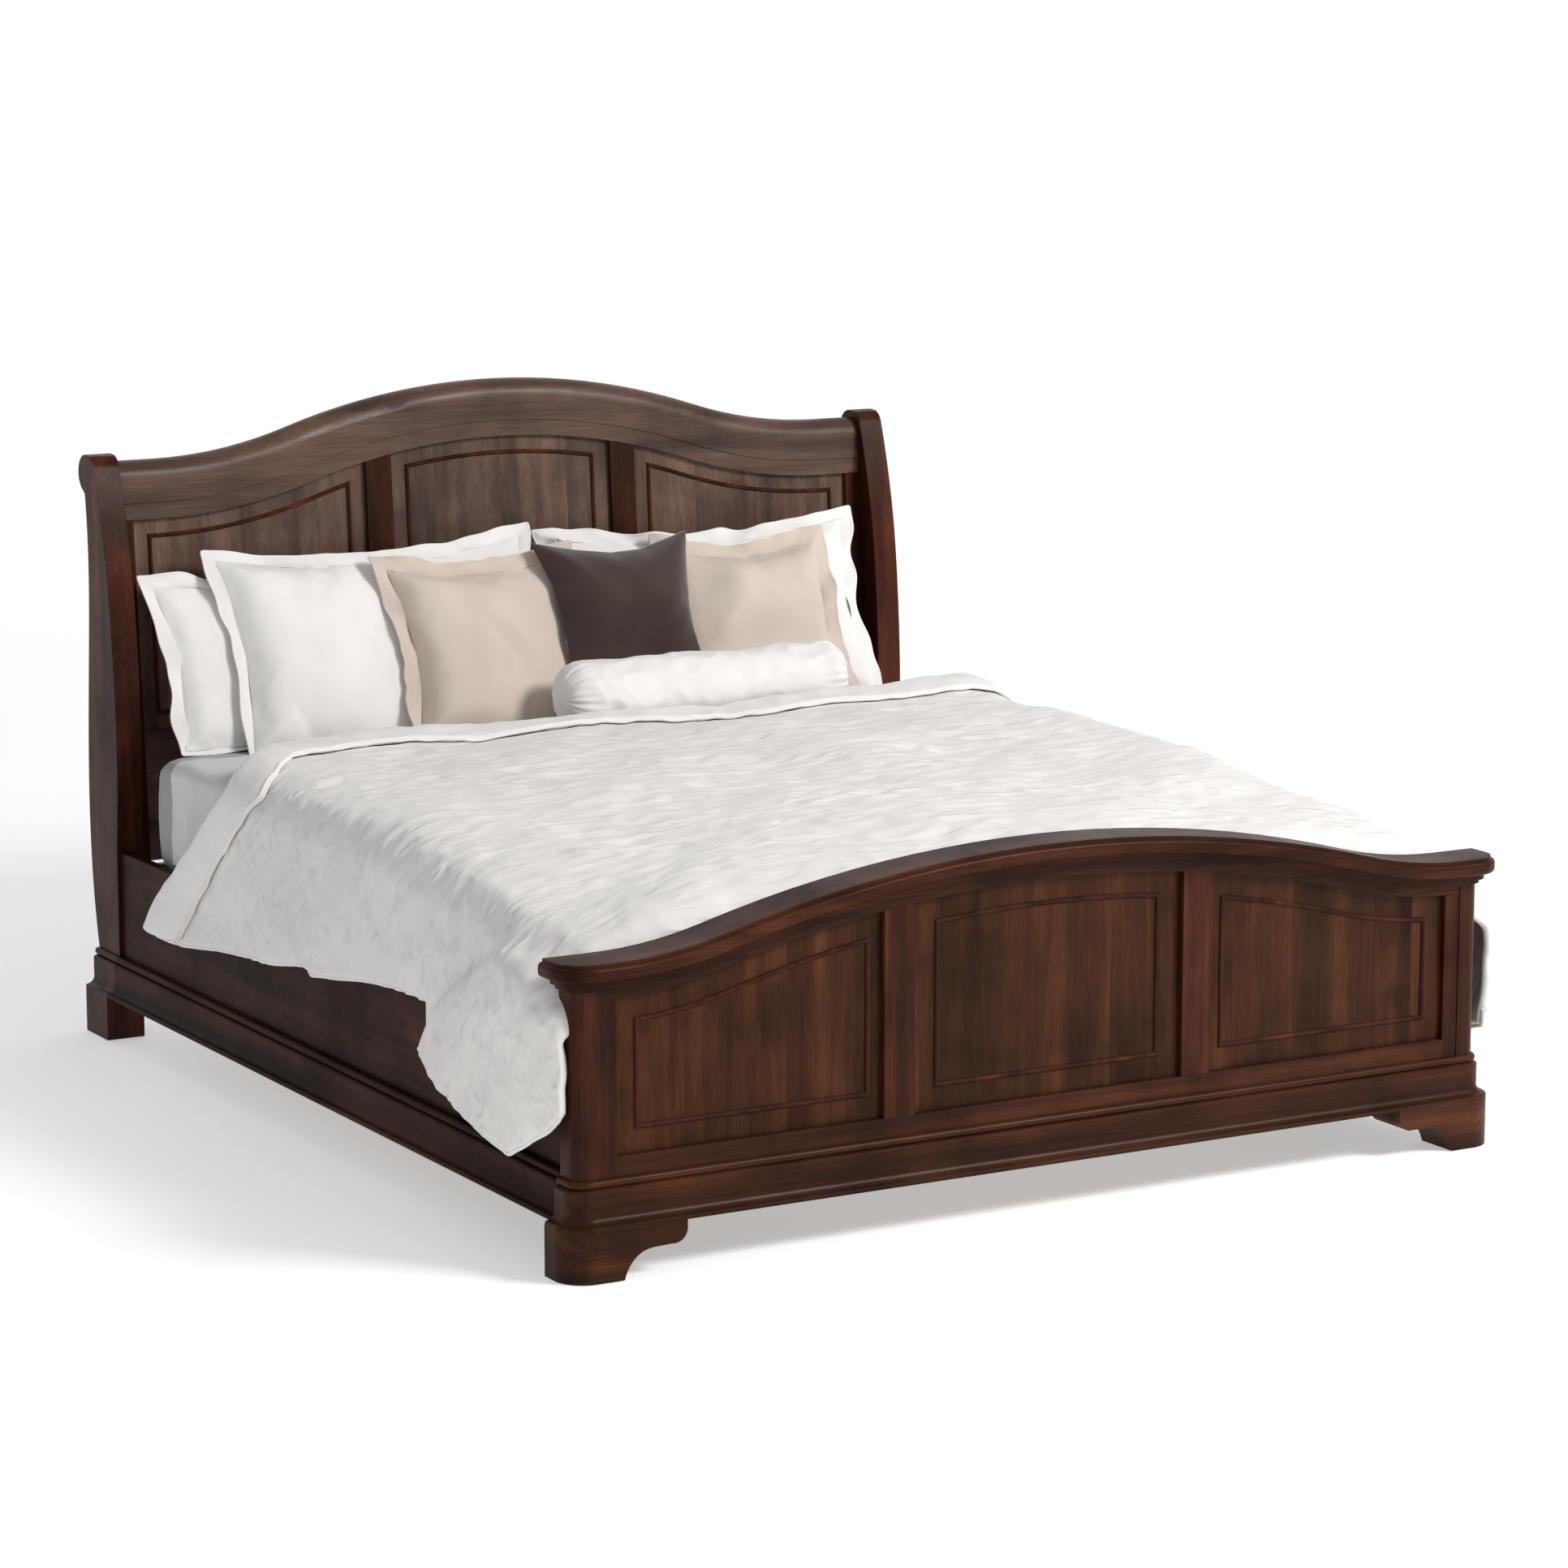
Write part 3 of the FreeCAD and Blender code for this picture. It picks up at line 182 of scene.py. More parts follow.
def wood(name, grain, dark, mid, light, plank=0.0, rough=0.36, glaze=0.07):
    """Stained cherry: grain runs along axis grain ('X', 'Y' or 'Z'); plank is a glued board's width."""
    mat, tree, bsdf = material(name)
    coord = tree.nodes.new("ShaderNodeTexCoord").outputs["Object"]
    turned = coord
    long_axis = "XYZ".index(grain)
    scale = [1.0, 1.0, 1.0]
    scale[long_axis] = 0.055
    fine_scale = [1.0, 1.0, 1.0]
    fine_scale[long_axis] = 0.02
    if plank:
        # boards glued side by side: each one shifts the grain and its tone
        across = 0 if grain != "X" else 2
        sep = tree.nodes.new("ShaderNodeSeparateXYZ")
        link(tree, turned, sep.inputs[0])
        cells = node(tree, "ShaderNodeMath", operation="DIVIDE")
        link(tree, sep.outputs[across], cells.inputs[0])
        cells.inputs[1].default_value = plank
        board_number = node(tree, "ShaderNodeMath", operation="FLOOR")
        link(tree, cells.outputs[0], board_number.inputs[0])
        white = node(tree, "ShaderNodeTexWhiteNoise", noise_dimensions="1D")
        link(tree, board_number.outputs[0], white.inputs["W"])
        jump = node(tree, "ShaderNodeVectorMath", operation="MULTIPLY_ADD")
        link(tree, white.outputs["Color"], jump.inputs[0])
        jump.inputs[1].default_value = (3.0, 3.0, 3.0)
        link(tree, turned, jump.inputs[2])
        turned = jump.outputs[0]
        tone = white.outputs["Value"]
    stretch = node(tree, "ShaderNodeMapping")
    stretch.inputs["Scale"].default_value = scale
    link(tree, turned, stretch.inputs["Vector"])
    fine = node(tree, "ShaderNodeMapping")
    fine.inputs["Scale"].default_value = fine_scale
    link(tree, turned, fine.inputs["Vector"])
    # broad growth rings, bent by a soft distortion
    bend = node(tree, "ShaderNodeTexNoise", Scale=2.2, Detail=3.0, Roughness=0.5)
    link(tree, stretch.outputs[0], bend.inputs["Vector"])
    bent = node(tree, "ShaderNodeVectorMath", operation="MULTIPLY_ADD")
    link(tree, bend.outputs["Color"], bent.inputs[0])
    bent.inputs[1].default_value = (0.16, 0.16, 0.16)
    link(tree, stretch.outputs[0], bent.inputs[2])
    rings = node(tree, "ShaderNodeTexNoise", Scale=17.0, Detail=5.0, Roughness=0.62)
    link(tree, bent.outputs[0], rings.inputs["Vector"])
    pores = node(tree, "ShaderNodeTexNoise", Scale=420.0, Detail=2.0, Roughness=0.6)
    link(tree, fine.outputs[0], pores.inputs["Vector"])
    blotch = node(tree, "ShaderNodeTexNoise", Scale=4.2, Detail=4.0, Roughness=0.62)
    link(tree, turned, blotch.inputs["Vector"])
    color = ramp(tree, rings.outputs["Fac"], [(0.30, dark), (0.50, mid), (0.70, light)])
    stain = ramp(tree, blotch.outputs["Fac"], [(0.34, (0.56, 0.53, 0.53)), (0.50, (0.95, 0.94, 0.93)),
                                               (0.68, (1.22, 1.17, 1.10))])
    color = mix(tree, 1.0, color, stain, "MULTIPLY")
    if plank:
        board = ramp(tree, tone, [(0.0, (0.80, 0.80, 0.80)), (0.5, (1.0, 0.98, 0.96)),
                                  (1.0, (1.14, 1.10, 1.04))])
        color = mix(tree, 0.9, color, board, "MULTIPLY")
    pore_tone = ramp(tree, pores.outputs["Fac"], [(0.40, (0.62, 0.58, 0.56)), (0.56, (1.05, 1.05, 1.05))])
    color = mix(tree, 0.55, color, pore_tone, "MULTIPLY")
    link(tree, color, bsdf.inputs["Base Color"])
    # satin lacquer, a little duller where the stain lies thick
    dull = node(tree, "ShaderNodeMapRange")
    link(tree, blotch.outputs["Fac"], dull.inputs["Value"])
    dull.inputs["From Min"].default_value = 0.3
    dull.inputs["From Max"].default_value = 0.7
    dull.inputs["To Min"].default_value = rough + 0.10
    dull.inputs["To Max"].default_value = rough - 0.04
    link(tree, dull.outputs[0], bsdf.inputs["Roughness"])
    bsdf.inputs["Specular IOR Level"].default_value = glaze
    bsdf.inputs["Coat Weight"].default_value = 0.04
    bsdf.inputs["Coat Roughness"].default_value = 0.22
    soft_edge = node(tree, "ShaderNodeBevel", Radius=0.0022)
    soft_edge.samples = 4
    bump = node(tree, "ShaderNodeBump", Strength=0.14, Distance=0.0006)
    link(tree, pores.outputs["Fac"], bump.inputs["Height"])
    link(tree, soft_edge.outputs["Normal"], bump.inputs["Normal"])
    link(tree, bump.outputs["Normal"], bsdf.inputs["Normal"])
    return mat


def metal(name, color, rough):
    """Brushed steel with a slightly uneven sheen."""
    mat, tree, bsdf = material(name)
    bsdf.inputs["Base Color"].default_value = (*color, 1)
    bsdf.inputs["Metallic"].default_value = 1.0
    coord = tree.nodes.new("ShaderNodeTexCoord").outputs["Object"]
    brushed = node(tree, "ShaderNodeTexNoise", Scale=160.0, Detail=3.0, Roughness=0.6)
    link(tree, coord, brushed.inputs["Vector"])
    span = node(tree, "ShaderNodeMapRange")
    link(tree, brushed.outputs["Fac"], span.inputs["Value"])
    span.inputs["To Min"].default_value = rough - 0.08
    span.inputs["To Max"].default_value = rough + 0.12
    link(tree, span.outputs[0], bsdf.inputs["Roughness"])
    return mat


def fabric(name, color, shade, crinkle=0.5, crinkle_scale=(9.0, 26.0, 18.0), weave=1400.0, sheen=0.25,
           distance=0.004, rough=0.88):
    """Woven cloth: slightly mottled tone, painted shade in the creases, crinkled cloth relief and a fine
    weave.
    """
    mat, tree, bsdf = material(name)
    coord = tree.nodes.new("ShaderNodeTexCoord").outputs["Object"]
    mottled = node(tree, "ShaderNodeTexNoise", Scale=7.0, Detail=3.0, Roughness=0.55)
    link(tree, coord, mottled.inputs["Vector"])
    tone = ramp(tree, mottled.outputs["Fac"], [(0.35, shade), (0.62, color)])
    stretch = node(tree, "ShaderNodeMapping")
    stretch.inputs["Scale"].default_value = crinkle_scale
    link(tree, coord, stretch.inputs["Vector"])
    warp = node(tree, "ShaderNodeTexNoise", Scale=0.55, Detail=2.0)
    link(tree, stretch.outputs[0], warp.inputs["Vector"])
    bent = node(tree, "ShaderNodeVectorMath", operation="MULTIPLY_ADD")
    link(tree, warp.outputs["Color"], bent.inputs[0])
    bent.inputs[1].default_value = (2.2, 2.2, 2.2)
    link(tree, stretch.outputs[0], bent.inputs[2])
    ridges = node(tree, "ShaderNodeTexNoise", Scale=1.0, Detail=4.0, Roughness=0.62)
    ridges.noise_type = "RIDGED_MULTIFRACTAL"
    link(tree, bent.outputs[0], ridges.inputs["Vector"])
    # painted shade: the creases are a touch darker than the cloth between them
    crease_shade = node(tree, "ShaderNodeMapRange")
    link(tree, ridges.outputs["Fac"], crease_shade.inputs["Value"])
    crease_shade.inputs["From Min"].default_value = 0.1
    crease_shade.inputs["From Max"].default_value = 0.9
    crease_shade.inputs["To Min"].default_value = 0.0
    crease_shade.inputs["To Max"].default_value = 0.10 * min(1.0, crinkle * 2)
    tone = mix(tree, crease_shade.outputs[0], tone, tuple(0.6 * c for c in shade))
    link(tree, tone, bsdf.inputs["Base Color"])
    warp_thread = node(tree, "ShaderNodeTexNoise", Scale=weave, Detail=1.0)
    link(tree, coord, warp_thread.inputs["Vector"])
    bump = node(tree, "ShaderNodeBump", Strength=crinkle, Distance=distance)
    link(tree, ridges.outputs["Fac"], bump.inputs["Height"])
    thread = node(tree, "ShaderNodeBump", Strength=0.16, Distance=0.0005)
    link(tree, warp_thread.outputs["Fac"], thread.inputs["Height"])
    link(tree, bump.outputs["Normal"], thread.inputs["Normal"])
    link(tree, thread.outputs["Normal"], bsdf.inputs["Normal"])
    bsdf.inputs["Roughness"].default_value = rough
    bsdf.inputs["Specular IOR Level"].default_value = 0.15
    bsdf.inputs["Sheen Weight"].default_value = sheen
    bsdf.inputs["Sheen Roughness"].default_value = 0.5
    return mat


DARK = (0.022, 0.0070, 0.0036)
MID = (0.046, 0.0150, 0.0075)
LIGHT = (0.098, 0.033, 0.0135)
PANEL_LIGHT = (0.092, 0.034, 0.0115)
WOOD_ACROSS = wood("wood_across", "X", DARK, MID, LIGHT)
# painted shade: the side rails and their mouldings get a darker copy of the cherry, for the shade on the
# bed's side
WOOD_ALONG_SHADED = wood("wood_along", "Y", (0.014, 0.0045, 0.0024), (0.029, 0.0092, 0.0045), (0.060, 0.020, 0.0085),
                  rough=0.46, glaze=0.04)
WOOD_UPRIGHT = wood("wood_upright", "Z", DARK, (0.050, 0.0145, 0.0075), (0.105, 0.030, 0.013))
WOOD_PANEL = wood("wood_panel", "Z", (0.028, 0.0092, 0.0036), (0.052, 0.0178, 0.0062), PANEL_LIGHT,
                  plank=0.145)
WOOD_CAP = wood("wood_cap", "X", DARK, (0.044, 0.0140, 0.0072), (0.088, 0.029, 0.013), rough=0.38, glaze=0.05)
# painted sheen: the headboard's cherry is a lighter, greyer copy of the foot's, with its sheen painted into
# the base colour on top of its real gloss
WOOD_CREST = wood("wood_crest", "X", (0.050, 0.026, 0.019), (0.108, 0.060, 0.045), (0.165, 0.096, 0.071),
                  rough=0.40, glaze=0.25)
WOOD_HEAD_PANEL = wood("wood_head_panel", "Z", (0.054, 0.028, 0.020), (0.128, 0.072, 0.054),
                       (0.205, 0.122, 0.088), plank=0.17, rough=0.42, glaze=0.25)
WOOD_PALE = wood("wood_pale", "X", (0.42, 0.27, 0.14), (0.55, 0.38, 0.21), (0.66, 0.48, 0.29),
                 rough=0.6, glaze=0.3)
STEEL = metal("zinc_steel", (0.50, 0.50, 0.51), 0.38)
GLIDE = metal("glide_steel", (0.30, 0.30, 0.31), 0.42)

WHITE_FABRIC = fabric("white_cotton", (0.88, 0.862, 0.842), (0.84, 0.822, 0.803), crinkle=0.55,
                      crinkle_scale=(11.0, 11.0, 13.0), distance=0.008)
DUVET_FABRIC = fabric("duvet_cotton", (0.85, 0.828, 0.808), (0.80, 0.778, 0.760), crinkle=0.75,
                      crinkle_scale=(9.0, 34.0, 22.0), distance=0.010)
HEM_FABRIC = fabric("duvet_lining", (0.88, 0.856, 0.840), (0.84, 0.816, 0.800), crinkle=0.25,
                    crinkle_scale=(10.0, 16.0, 12.0))
COVERLET_FABRIC = fabric("coverlet_cotton", (0.66, 0.65, 0.645), (0.60, 0.59, 0.585), crinkle=0.4,
                         crinkle_scale=(12.0, 14.0, 12.0))
MATTRESS_FABRIC = fabric("mattress_knit", (0.36, 0.37, 0.385), (0.32, 0.33, 0.345), crinkle=0.1)
BEIGE_FABRIC = fabric("beige_cotton", (0.66, 0.575, 0.505), (0.62, 0.535, 0.468), crinkle=0.08, sheen=0.35)
BROWN_FABRIC = fabric("brown_cotton", (0.050, 0.0295, 0.0245), (0.042, 0.0245, 0.0205), crinkle=0.06,
                      sheen=0.5)

# ------------------------------------------------------------------ materials of the CAD nodes
NODE_WOOD = {
    "foot_cap": WOOD_CAP, "foot_cap_moulding": WOOD_CAP, "head_crest_rail": WOOD_CREST,
    "head_top_rail": WOOD_CREST, "head_bottom_rail": WOOD_CREST, "foot_top_rail": WOOD_ACROSS,
    "foot_bottom_rail": WOOD_ACROSS, "foot_plinth": WOOD_ACROSS, "head_stretcher": WOOD_ACROSS,
    "foot_bracket_left": WOOD_ACROSS, "foot_bracket_right": WOOD_ACROSS,
    "side_rail_left": WOOD_ALONG_SHADED, "side_rail_right": WOOD_ALONG_SHADED,
    "rail_moulding_left": WOOD_ALONG_SHADED, "rail_moulding_right": WOOD_ALONG_SHADED,
    "head_panel_left": WOOD_HEAD_PANEL, "head_panel_centre": WOOD_HEAD_PANEL,
    "head_panel_right": WOOD_HEAD_PANEL,
    "foot_panel_left": WOOD_PANEL, "foot_panel_centre": WOOD_PANEL, "foot_panel_right": WOOD_PANEL,
    "slats": WOOD_PALE, "centre_beam": WOOD_PALE, "centre_legs": WOOD_PALE,
    "slat_cleat_left": WOOD_PALE, "slat_cleat_right": WOOD_PALE,
    "beam_saddles": STEEL, "rail_hook_plates": STEEL, "post_slot_plates": STEEL, "wood_screws": STEEL,
    "leveller_foot": GLIDE, "leveller_middle": GLIDE, "leveller_head": GLIDE,
}
for obj in bpy.data.objects:
    if "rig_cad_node" in obj and obj.type == "MESH":
        chosen = NODE_WOOD.get(obj["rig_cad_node"], WOOD_UPRIGHT)
        if not obj.data.materials:
            obj.data.materials.append(chosen)
        for index in range(len(obj.data.materials)):
            obj.data.materials[index] = chosen

# ------------------------------------------------------------------ camera and studio
camera_data = bpy.data.cameras.new("camera")
camera = bpy.data.objects.new("camera", camera_data)
bpy.context.scene.collection.objects.link(camera)
AZIMUTH, PITCH = math.radians(29.889), math.radians(10.208)
camera.location = (-4.9982, -7.6316 - ORIGIN_Y, 2.4804)
LOOK = Vector((math.sin(AZIMUTH) * math.cos(PITCH), math.cos(AZIMUTH) * math.cos(PITCH),
               -math.sin(PITCH)))
camera.rotation_mode = "QUATERNION"
camera.rotation_quaternion = LOOK.to_track_quat("-Z", "Y")
camera_data.sensor_width = 36.0
camera_data.lens = 111.82
camera_data.clip_end = 100.0
bpy.context.scene.camera = camera

def studio_paper(name, verts, grey, rough, glow):
    """A plain matt sheet of the studio that also gives a little light of its own."""
    paper = new_object("studio_" + name, verts, [(0, 1, 2, 3)], False)
    mat, _, bsdf = material(name + "_paper")
    bsdf.inputs["Base Color"].default_value = (grey, grey, grey, 1)
    bsdf.inputs["Roughness"].default_value = rough
    bsdf.inputs["Specular IOR Level"].default_value = 0.0
    bsdf.inputs["Emission Color"].default_value = (1.0, 1.0, 1.0, 1)
    bsdf.inputs["Emission Strength"].default_value = glow
    paper.data.materials.append(mat)
    return paper


FLOOR_HALF = 40.0
floor = studio_paper("floor", [(x * FLOOR_HALF, y * FLOOR_HALF, 0)
                               for x, y in ((-1, -1), (1, -1), (1, 1), (-1, 1))], 0.86, 0.95, 0.40)
floor.location.z = -0.0015                                # just under the bracket feet
# a plain white screen behind, square to the camera
SCREEN_AHEAD, SCREEN_HALF, SCREEN_TOP, SCREEN_FOOT = 9.0, 14, 9, -0.02
ahead = Vector((math.sin(AZIMUTH), math.cos(AZIMUTH), 0))
aside = Vector((math.cos(AZIMUTH), -math.sin(AZIMUTH), 0))
screen_corners = [(-SCREEN_HALF, SCREEN_FOOT), (SCREEN_HALF, SCREEN_FOOT), (SCREEN_HALF, SCREEN_TOP),
                  (-SCREEN_HALF, SCREEN_TOP)]
screen = studio_paper("screen", [tuple(ahead * SCREEN_AHEAD + aside * x + Vector((0, 0, z)))
                                 for x, z in screen_corners], 0.0, 0.5, 1.0)


def area_light(name, location, target, size, power, color=(1, 1, 1)):
    data = bpy.data.lights.new(name, "AREA")
    data.shape = "RECTANGLE"
    data.size, data.size_y = size
    data.energy = power
    data.color = color
    lamp = bpy.data.objects.new(name, data)
    bpy.context.scene.collection.objects.link(lamp)
    lamp.location = location
    lamp.rotation_mode = "QUATERNION"
    lamp.rotation_quaternion = (Vector(target) - Vector(location)).to_track_quat("-Z", "Y")


area_light("key", (3.6, -5.6, 5.4), (0, 0.3, 0.6), (2.6, 2.0), 520, (1.0, 0.985, 0.97))
area_light("fill", (-5.6, -3.6, 2.8), (0, 0, 0.5), (2.5, 2.5), 16)
world = bpy.data.worlds.new("studio")
world.use_nodes = True
world.node_tree.nodes["Background"].inputs["Color"].default_value = (1.0, 1.0, 1.0, 1)
world.node_tree.nodes["Background"].inputs["Strength"].default_value = 0.36
bpy.context.scene.world = world
bpy.context.scene.view_settings.view_transform = "Standard"

# ------------------------------------------------------------------ pillows
LEAN_DEG = 26.0            # how far the pillows lean back, as their CAD slabs do
SLAB_LEAN = math.radians(LEAN_DEG)
CLOTH_STEP = 0.013         # mesh of the sewn covers
DRAW_IN = 0.22             # share of the simulated narrowing that a stuffed sham keeps
SINK = 0.016               # how far a pillow sinks into the bed


def envelope(width, height, step, seed):
    """Two flat sheets sewn along their edges, lying in X and Z, and the seam's vertices in order."""
    nx = max(8, int(round(width / step))) + 1
    nz = max(8, int(round(height / step))) + 1
    xs = np.linspace(-width / 2, width / 2, nx)
    zs = np.linspace(-height / 2, height / 2, nz)
    gx, gz = np.meshgrid(xs, zs)
    edge = np.minimum(width / 2 - np.abs(gx), height / 2 - np.abs(gz))
    rise = 0.010 * smooth(edge / 0.05)
    front = np.stack([gx, -rise, gz], -1).reshape(-1, 3)
    rough = waves(seed, 24, 2.0, 9.0)(front)
    inner = (edge.ravel() > 1e-6)
    front[:, 1] += 0.004 * rough * smooth(edge.ravel() / 0.06)
    index = np.full((2, nz * nx), -1)
    index[0] = np.arange(nz * nx)
    index[1] = index[0]
    index[1][inner] = nz * nx + np.arange(inner.sum())
    back = front[inner].copy()
    back[:, 1] = -back[:, 1]
    verts = np.vstack([front, back])
    faces = []
    for i in range(nz - 1):
        for j in range(nx - 1):
            a, b, c, d = i * nx + j, i * nx + j + 1, (i + 1) * nx + j + 1, (i + 1) * nx + j
            faces.append((a, b, c, d))
            faces.append(tuple(index[1][k] for k in (d, c, b, a)))
    ring = list(range(nx)) + [i * nx + nx - 1 for i in range(1, nz)]
    ring += [(nz - 1) * nx + j for j in range(nx - 2, -1, -1)] + [i * nx for i in range(nz - 2, 0, -1)]
    return verts, faces, ring, (nx, nz)


def inflate(obj, pressure, frames, ring, gather=0.05, bending=0.4, tension=12.0):
    """Cloth simulation with pressure and no gravity; returns the simulated vertex positions."""
    group = obj.vertex_groups.new(name="seam")
    group.add([int(i) for i in ring], 1.0, "REPLACE")
    cloth = obj.modifiers.new("cloth", "CLOTH")
    s = cloth.settings
    s.quality = 5
    s.mass = 0.25
    s.tension_stiffness = tension
    s.compression_stiffness = tension
    s.shear_stiffness = 4.0
    s.bending_stiffness = bending
    s.use_pressure = True
    s.uniform_pressure_force = pressure
    s.vertex_group_shrink = "seam"
    s.shrink_min = 0.0
    s.shrink_max = gather
    s.effector_weights.gravity = 0.0
    cloth.collision_settings.use_collision = False
    cloth.collision_settings.use_self_collision = False
    cloth.point_cache.frame_start = 1
    cloth.point_cache.frame_end = frames
    scene = bpy.context.scene
    for number in range(1, frames + 1):
        scene.frame_set(number)
    dg = bpy.context.evaluated_depsgraph_get()
    done = obj.evaluated_get(dg)
    out = np.empty(len(done.data.vertices) * 3)
    done.data.vertices.foreach_get("co", out)
    obj.modifiers.remove(cloth)
    obj.vertex_groups.remove(group)
    scene.frame_set(1)
    return out.reshape(-1, 3)


def square_outline(outer, corners):
    """The border's outer line with its points spread evenly from corner to corner."""
    out = outer.copy()
    n = len(outer)
    for a, b in zip(corners, corners[1:] + [corners[0] + n]):
        side = outer[np.arange(a, b + 1) % n]
        run = np.concatenate([[0], np.cumsum(np.linalg.norm(np.diff(side, axis=0), axis=1))])
        want = np.linspace(0, run[-1], len(side))
        for axis in range(3):
            out[np.arange(a, b + 1) % n, axis] = np.interp(want, run, side[:, axis])
    return out


def flange_strip(seam, normals, width, seed, corners, thick=0.0035):
    """Closed flat border outside a seam: rings from the front face round the hem to the back."""
    n = len(seam)
    t = np.linspace(0, 2 * math.pi, n, endpoint=False)
    rng = np.random.default_rng(seed)
    wave = np.zeros(n)
    for k in range(2, 26):
        wave += rng.normal() / k ** 0.55 * np.sin(k * t + rng.uniform(0, 2 * math.pi))
    wave *= 0.0062 / wave.std()
    rings = []
    ripple = np.zeros(n)
    for k in range(5, 34):
        ripple += rng.normal() * np.sin(k * t + rng.uniform(0, 2 * math.pi))
    ripple *= 0.0022 / ripple.std()
    # along the bottom the border lies folded under the pillow's own weight
    level = seam[:, 2] - seam[:, 2].min()
    reach_out = (width + ripple) * (0.30 + 0.70 * smooth(level / 0.07))
    outline = square_outline(seam + normals * reach_out[:, None], corners)
    inward = seam - normals * 0.012
    profile = [(-1.0, 0.6), (0.02, 0.9), (0.35, 1.0), (0.72, 1.0), (0.79, 0.55), (0.85, 1.3), (0.96, 1.4),
               (1.0, 0.7)]      # reach across the border and thickness there
    for side in (-1, 1):
        rows = profile if side < 0 else profile[::-1]
        for reach, fat in rows:
            p = (seam + (outline - seam) * reach) if reach > 0 else inward.copy()
            p[:, 1] += wave * reach * (1.1 + 0.4 * np.sin(3 * t)) + side * thick * fat / 2
            rings.append(p)
    verts = np.vstack(rings)
    faces = grid_faces(len(rings), n, wrap_rows=True, wrap_cols=True)
    return verts, faces


def seam_normals(seam, corners):
    """Outward directions along a rectangular seam, mitred at the corners."""
    n = len(seam)
    out = np.zeros((n, 3))
    tangent = np.roll(seam, -3, 0) - np.roll(seam, 3, 0)
    tangent[:, 1] = 0
    tangent /= np.linalg.norm(tangent, axis=1)[:, None]
    out[:, 0] = tangent[:, 2]
    out[:, 2] = -tangent[:, 0]
    # the border's corners stay square, so near a corner the direction runs along the diagonal
    for c in corners:
        out[c] = (np.sign(seam[c, 0]), 0, np.sign(seam[c, 2]))
    return out


def place_pillow(local, middle, base_y, base_z, lean_deg, turn_deg=0.0, roll_deg=0.0):
    """Local X across, Y thickness (front is negative), Z up from the middle, into the bed's frame."""
    p = local.copy()
    roll = math.radians(roll_deg)
    x, z = p[:, 0].copy(), p[:, 2].copy()
    p[:, 0] = x * math.cos(roll) - z * math.sin(roll)
    p[:, 2] = x * math.sin(roll) + z * math.cos(roll)
    p[:, 2] -= p[:, 2].min()
    a = math.radians(lean_deg)
    y, z = p[:, 1].copy(), p[:, 2].copy()
    p[:, 1] = y * math.cos(a) + z * math.sin(a)
    p[:, 2] = -y * math.sin(a) + z * math.cos(a)
    turn = math.radians(turn_deg)
    x, y = p[:, 0].copy(), p[:, 1].copy()
    p[:, 0] = x * math.cos(turn) - y * math.sin(turn)
    p[:, 1] = x * math.sin(turn) + y * math.cos(turn)
    return p + np.array([middle, base_y, base_z])


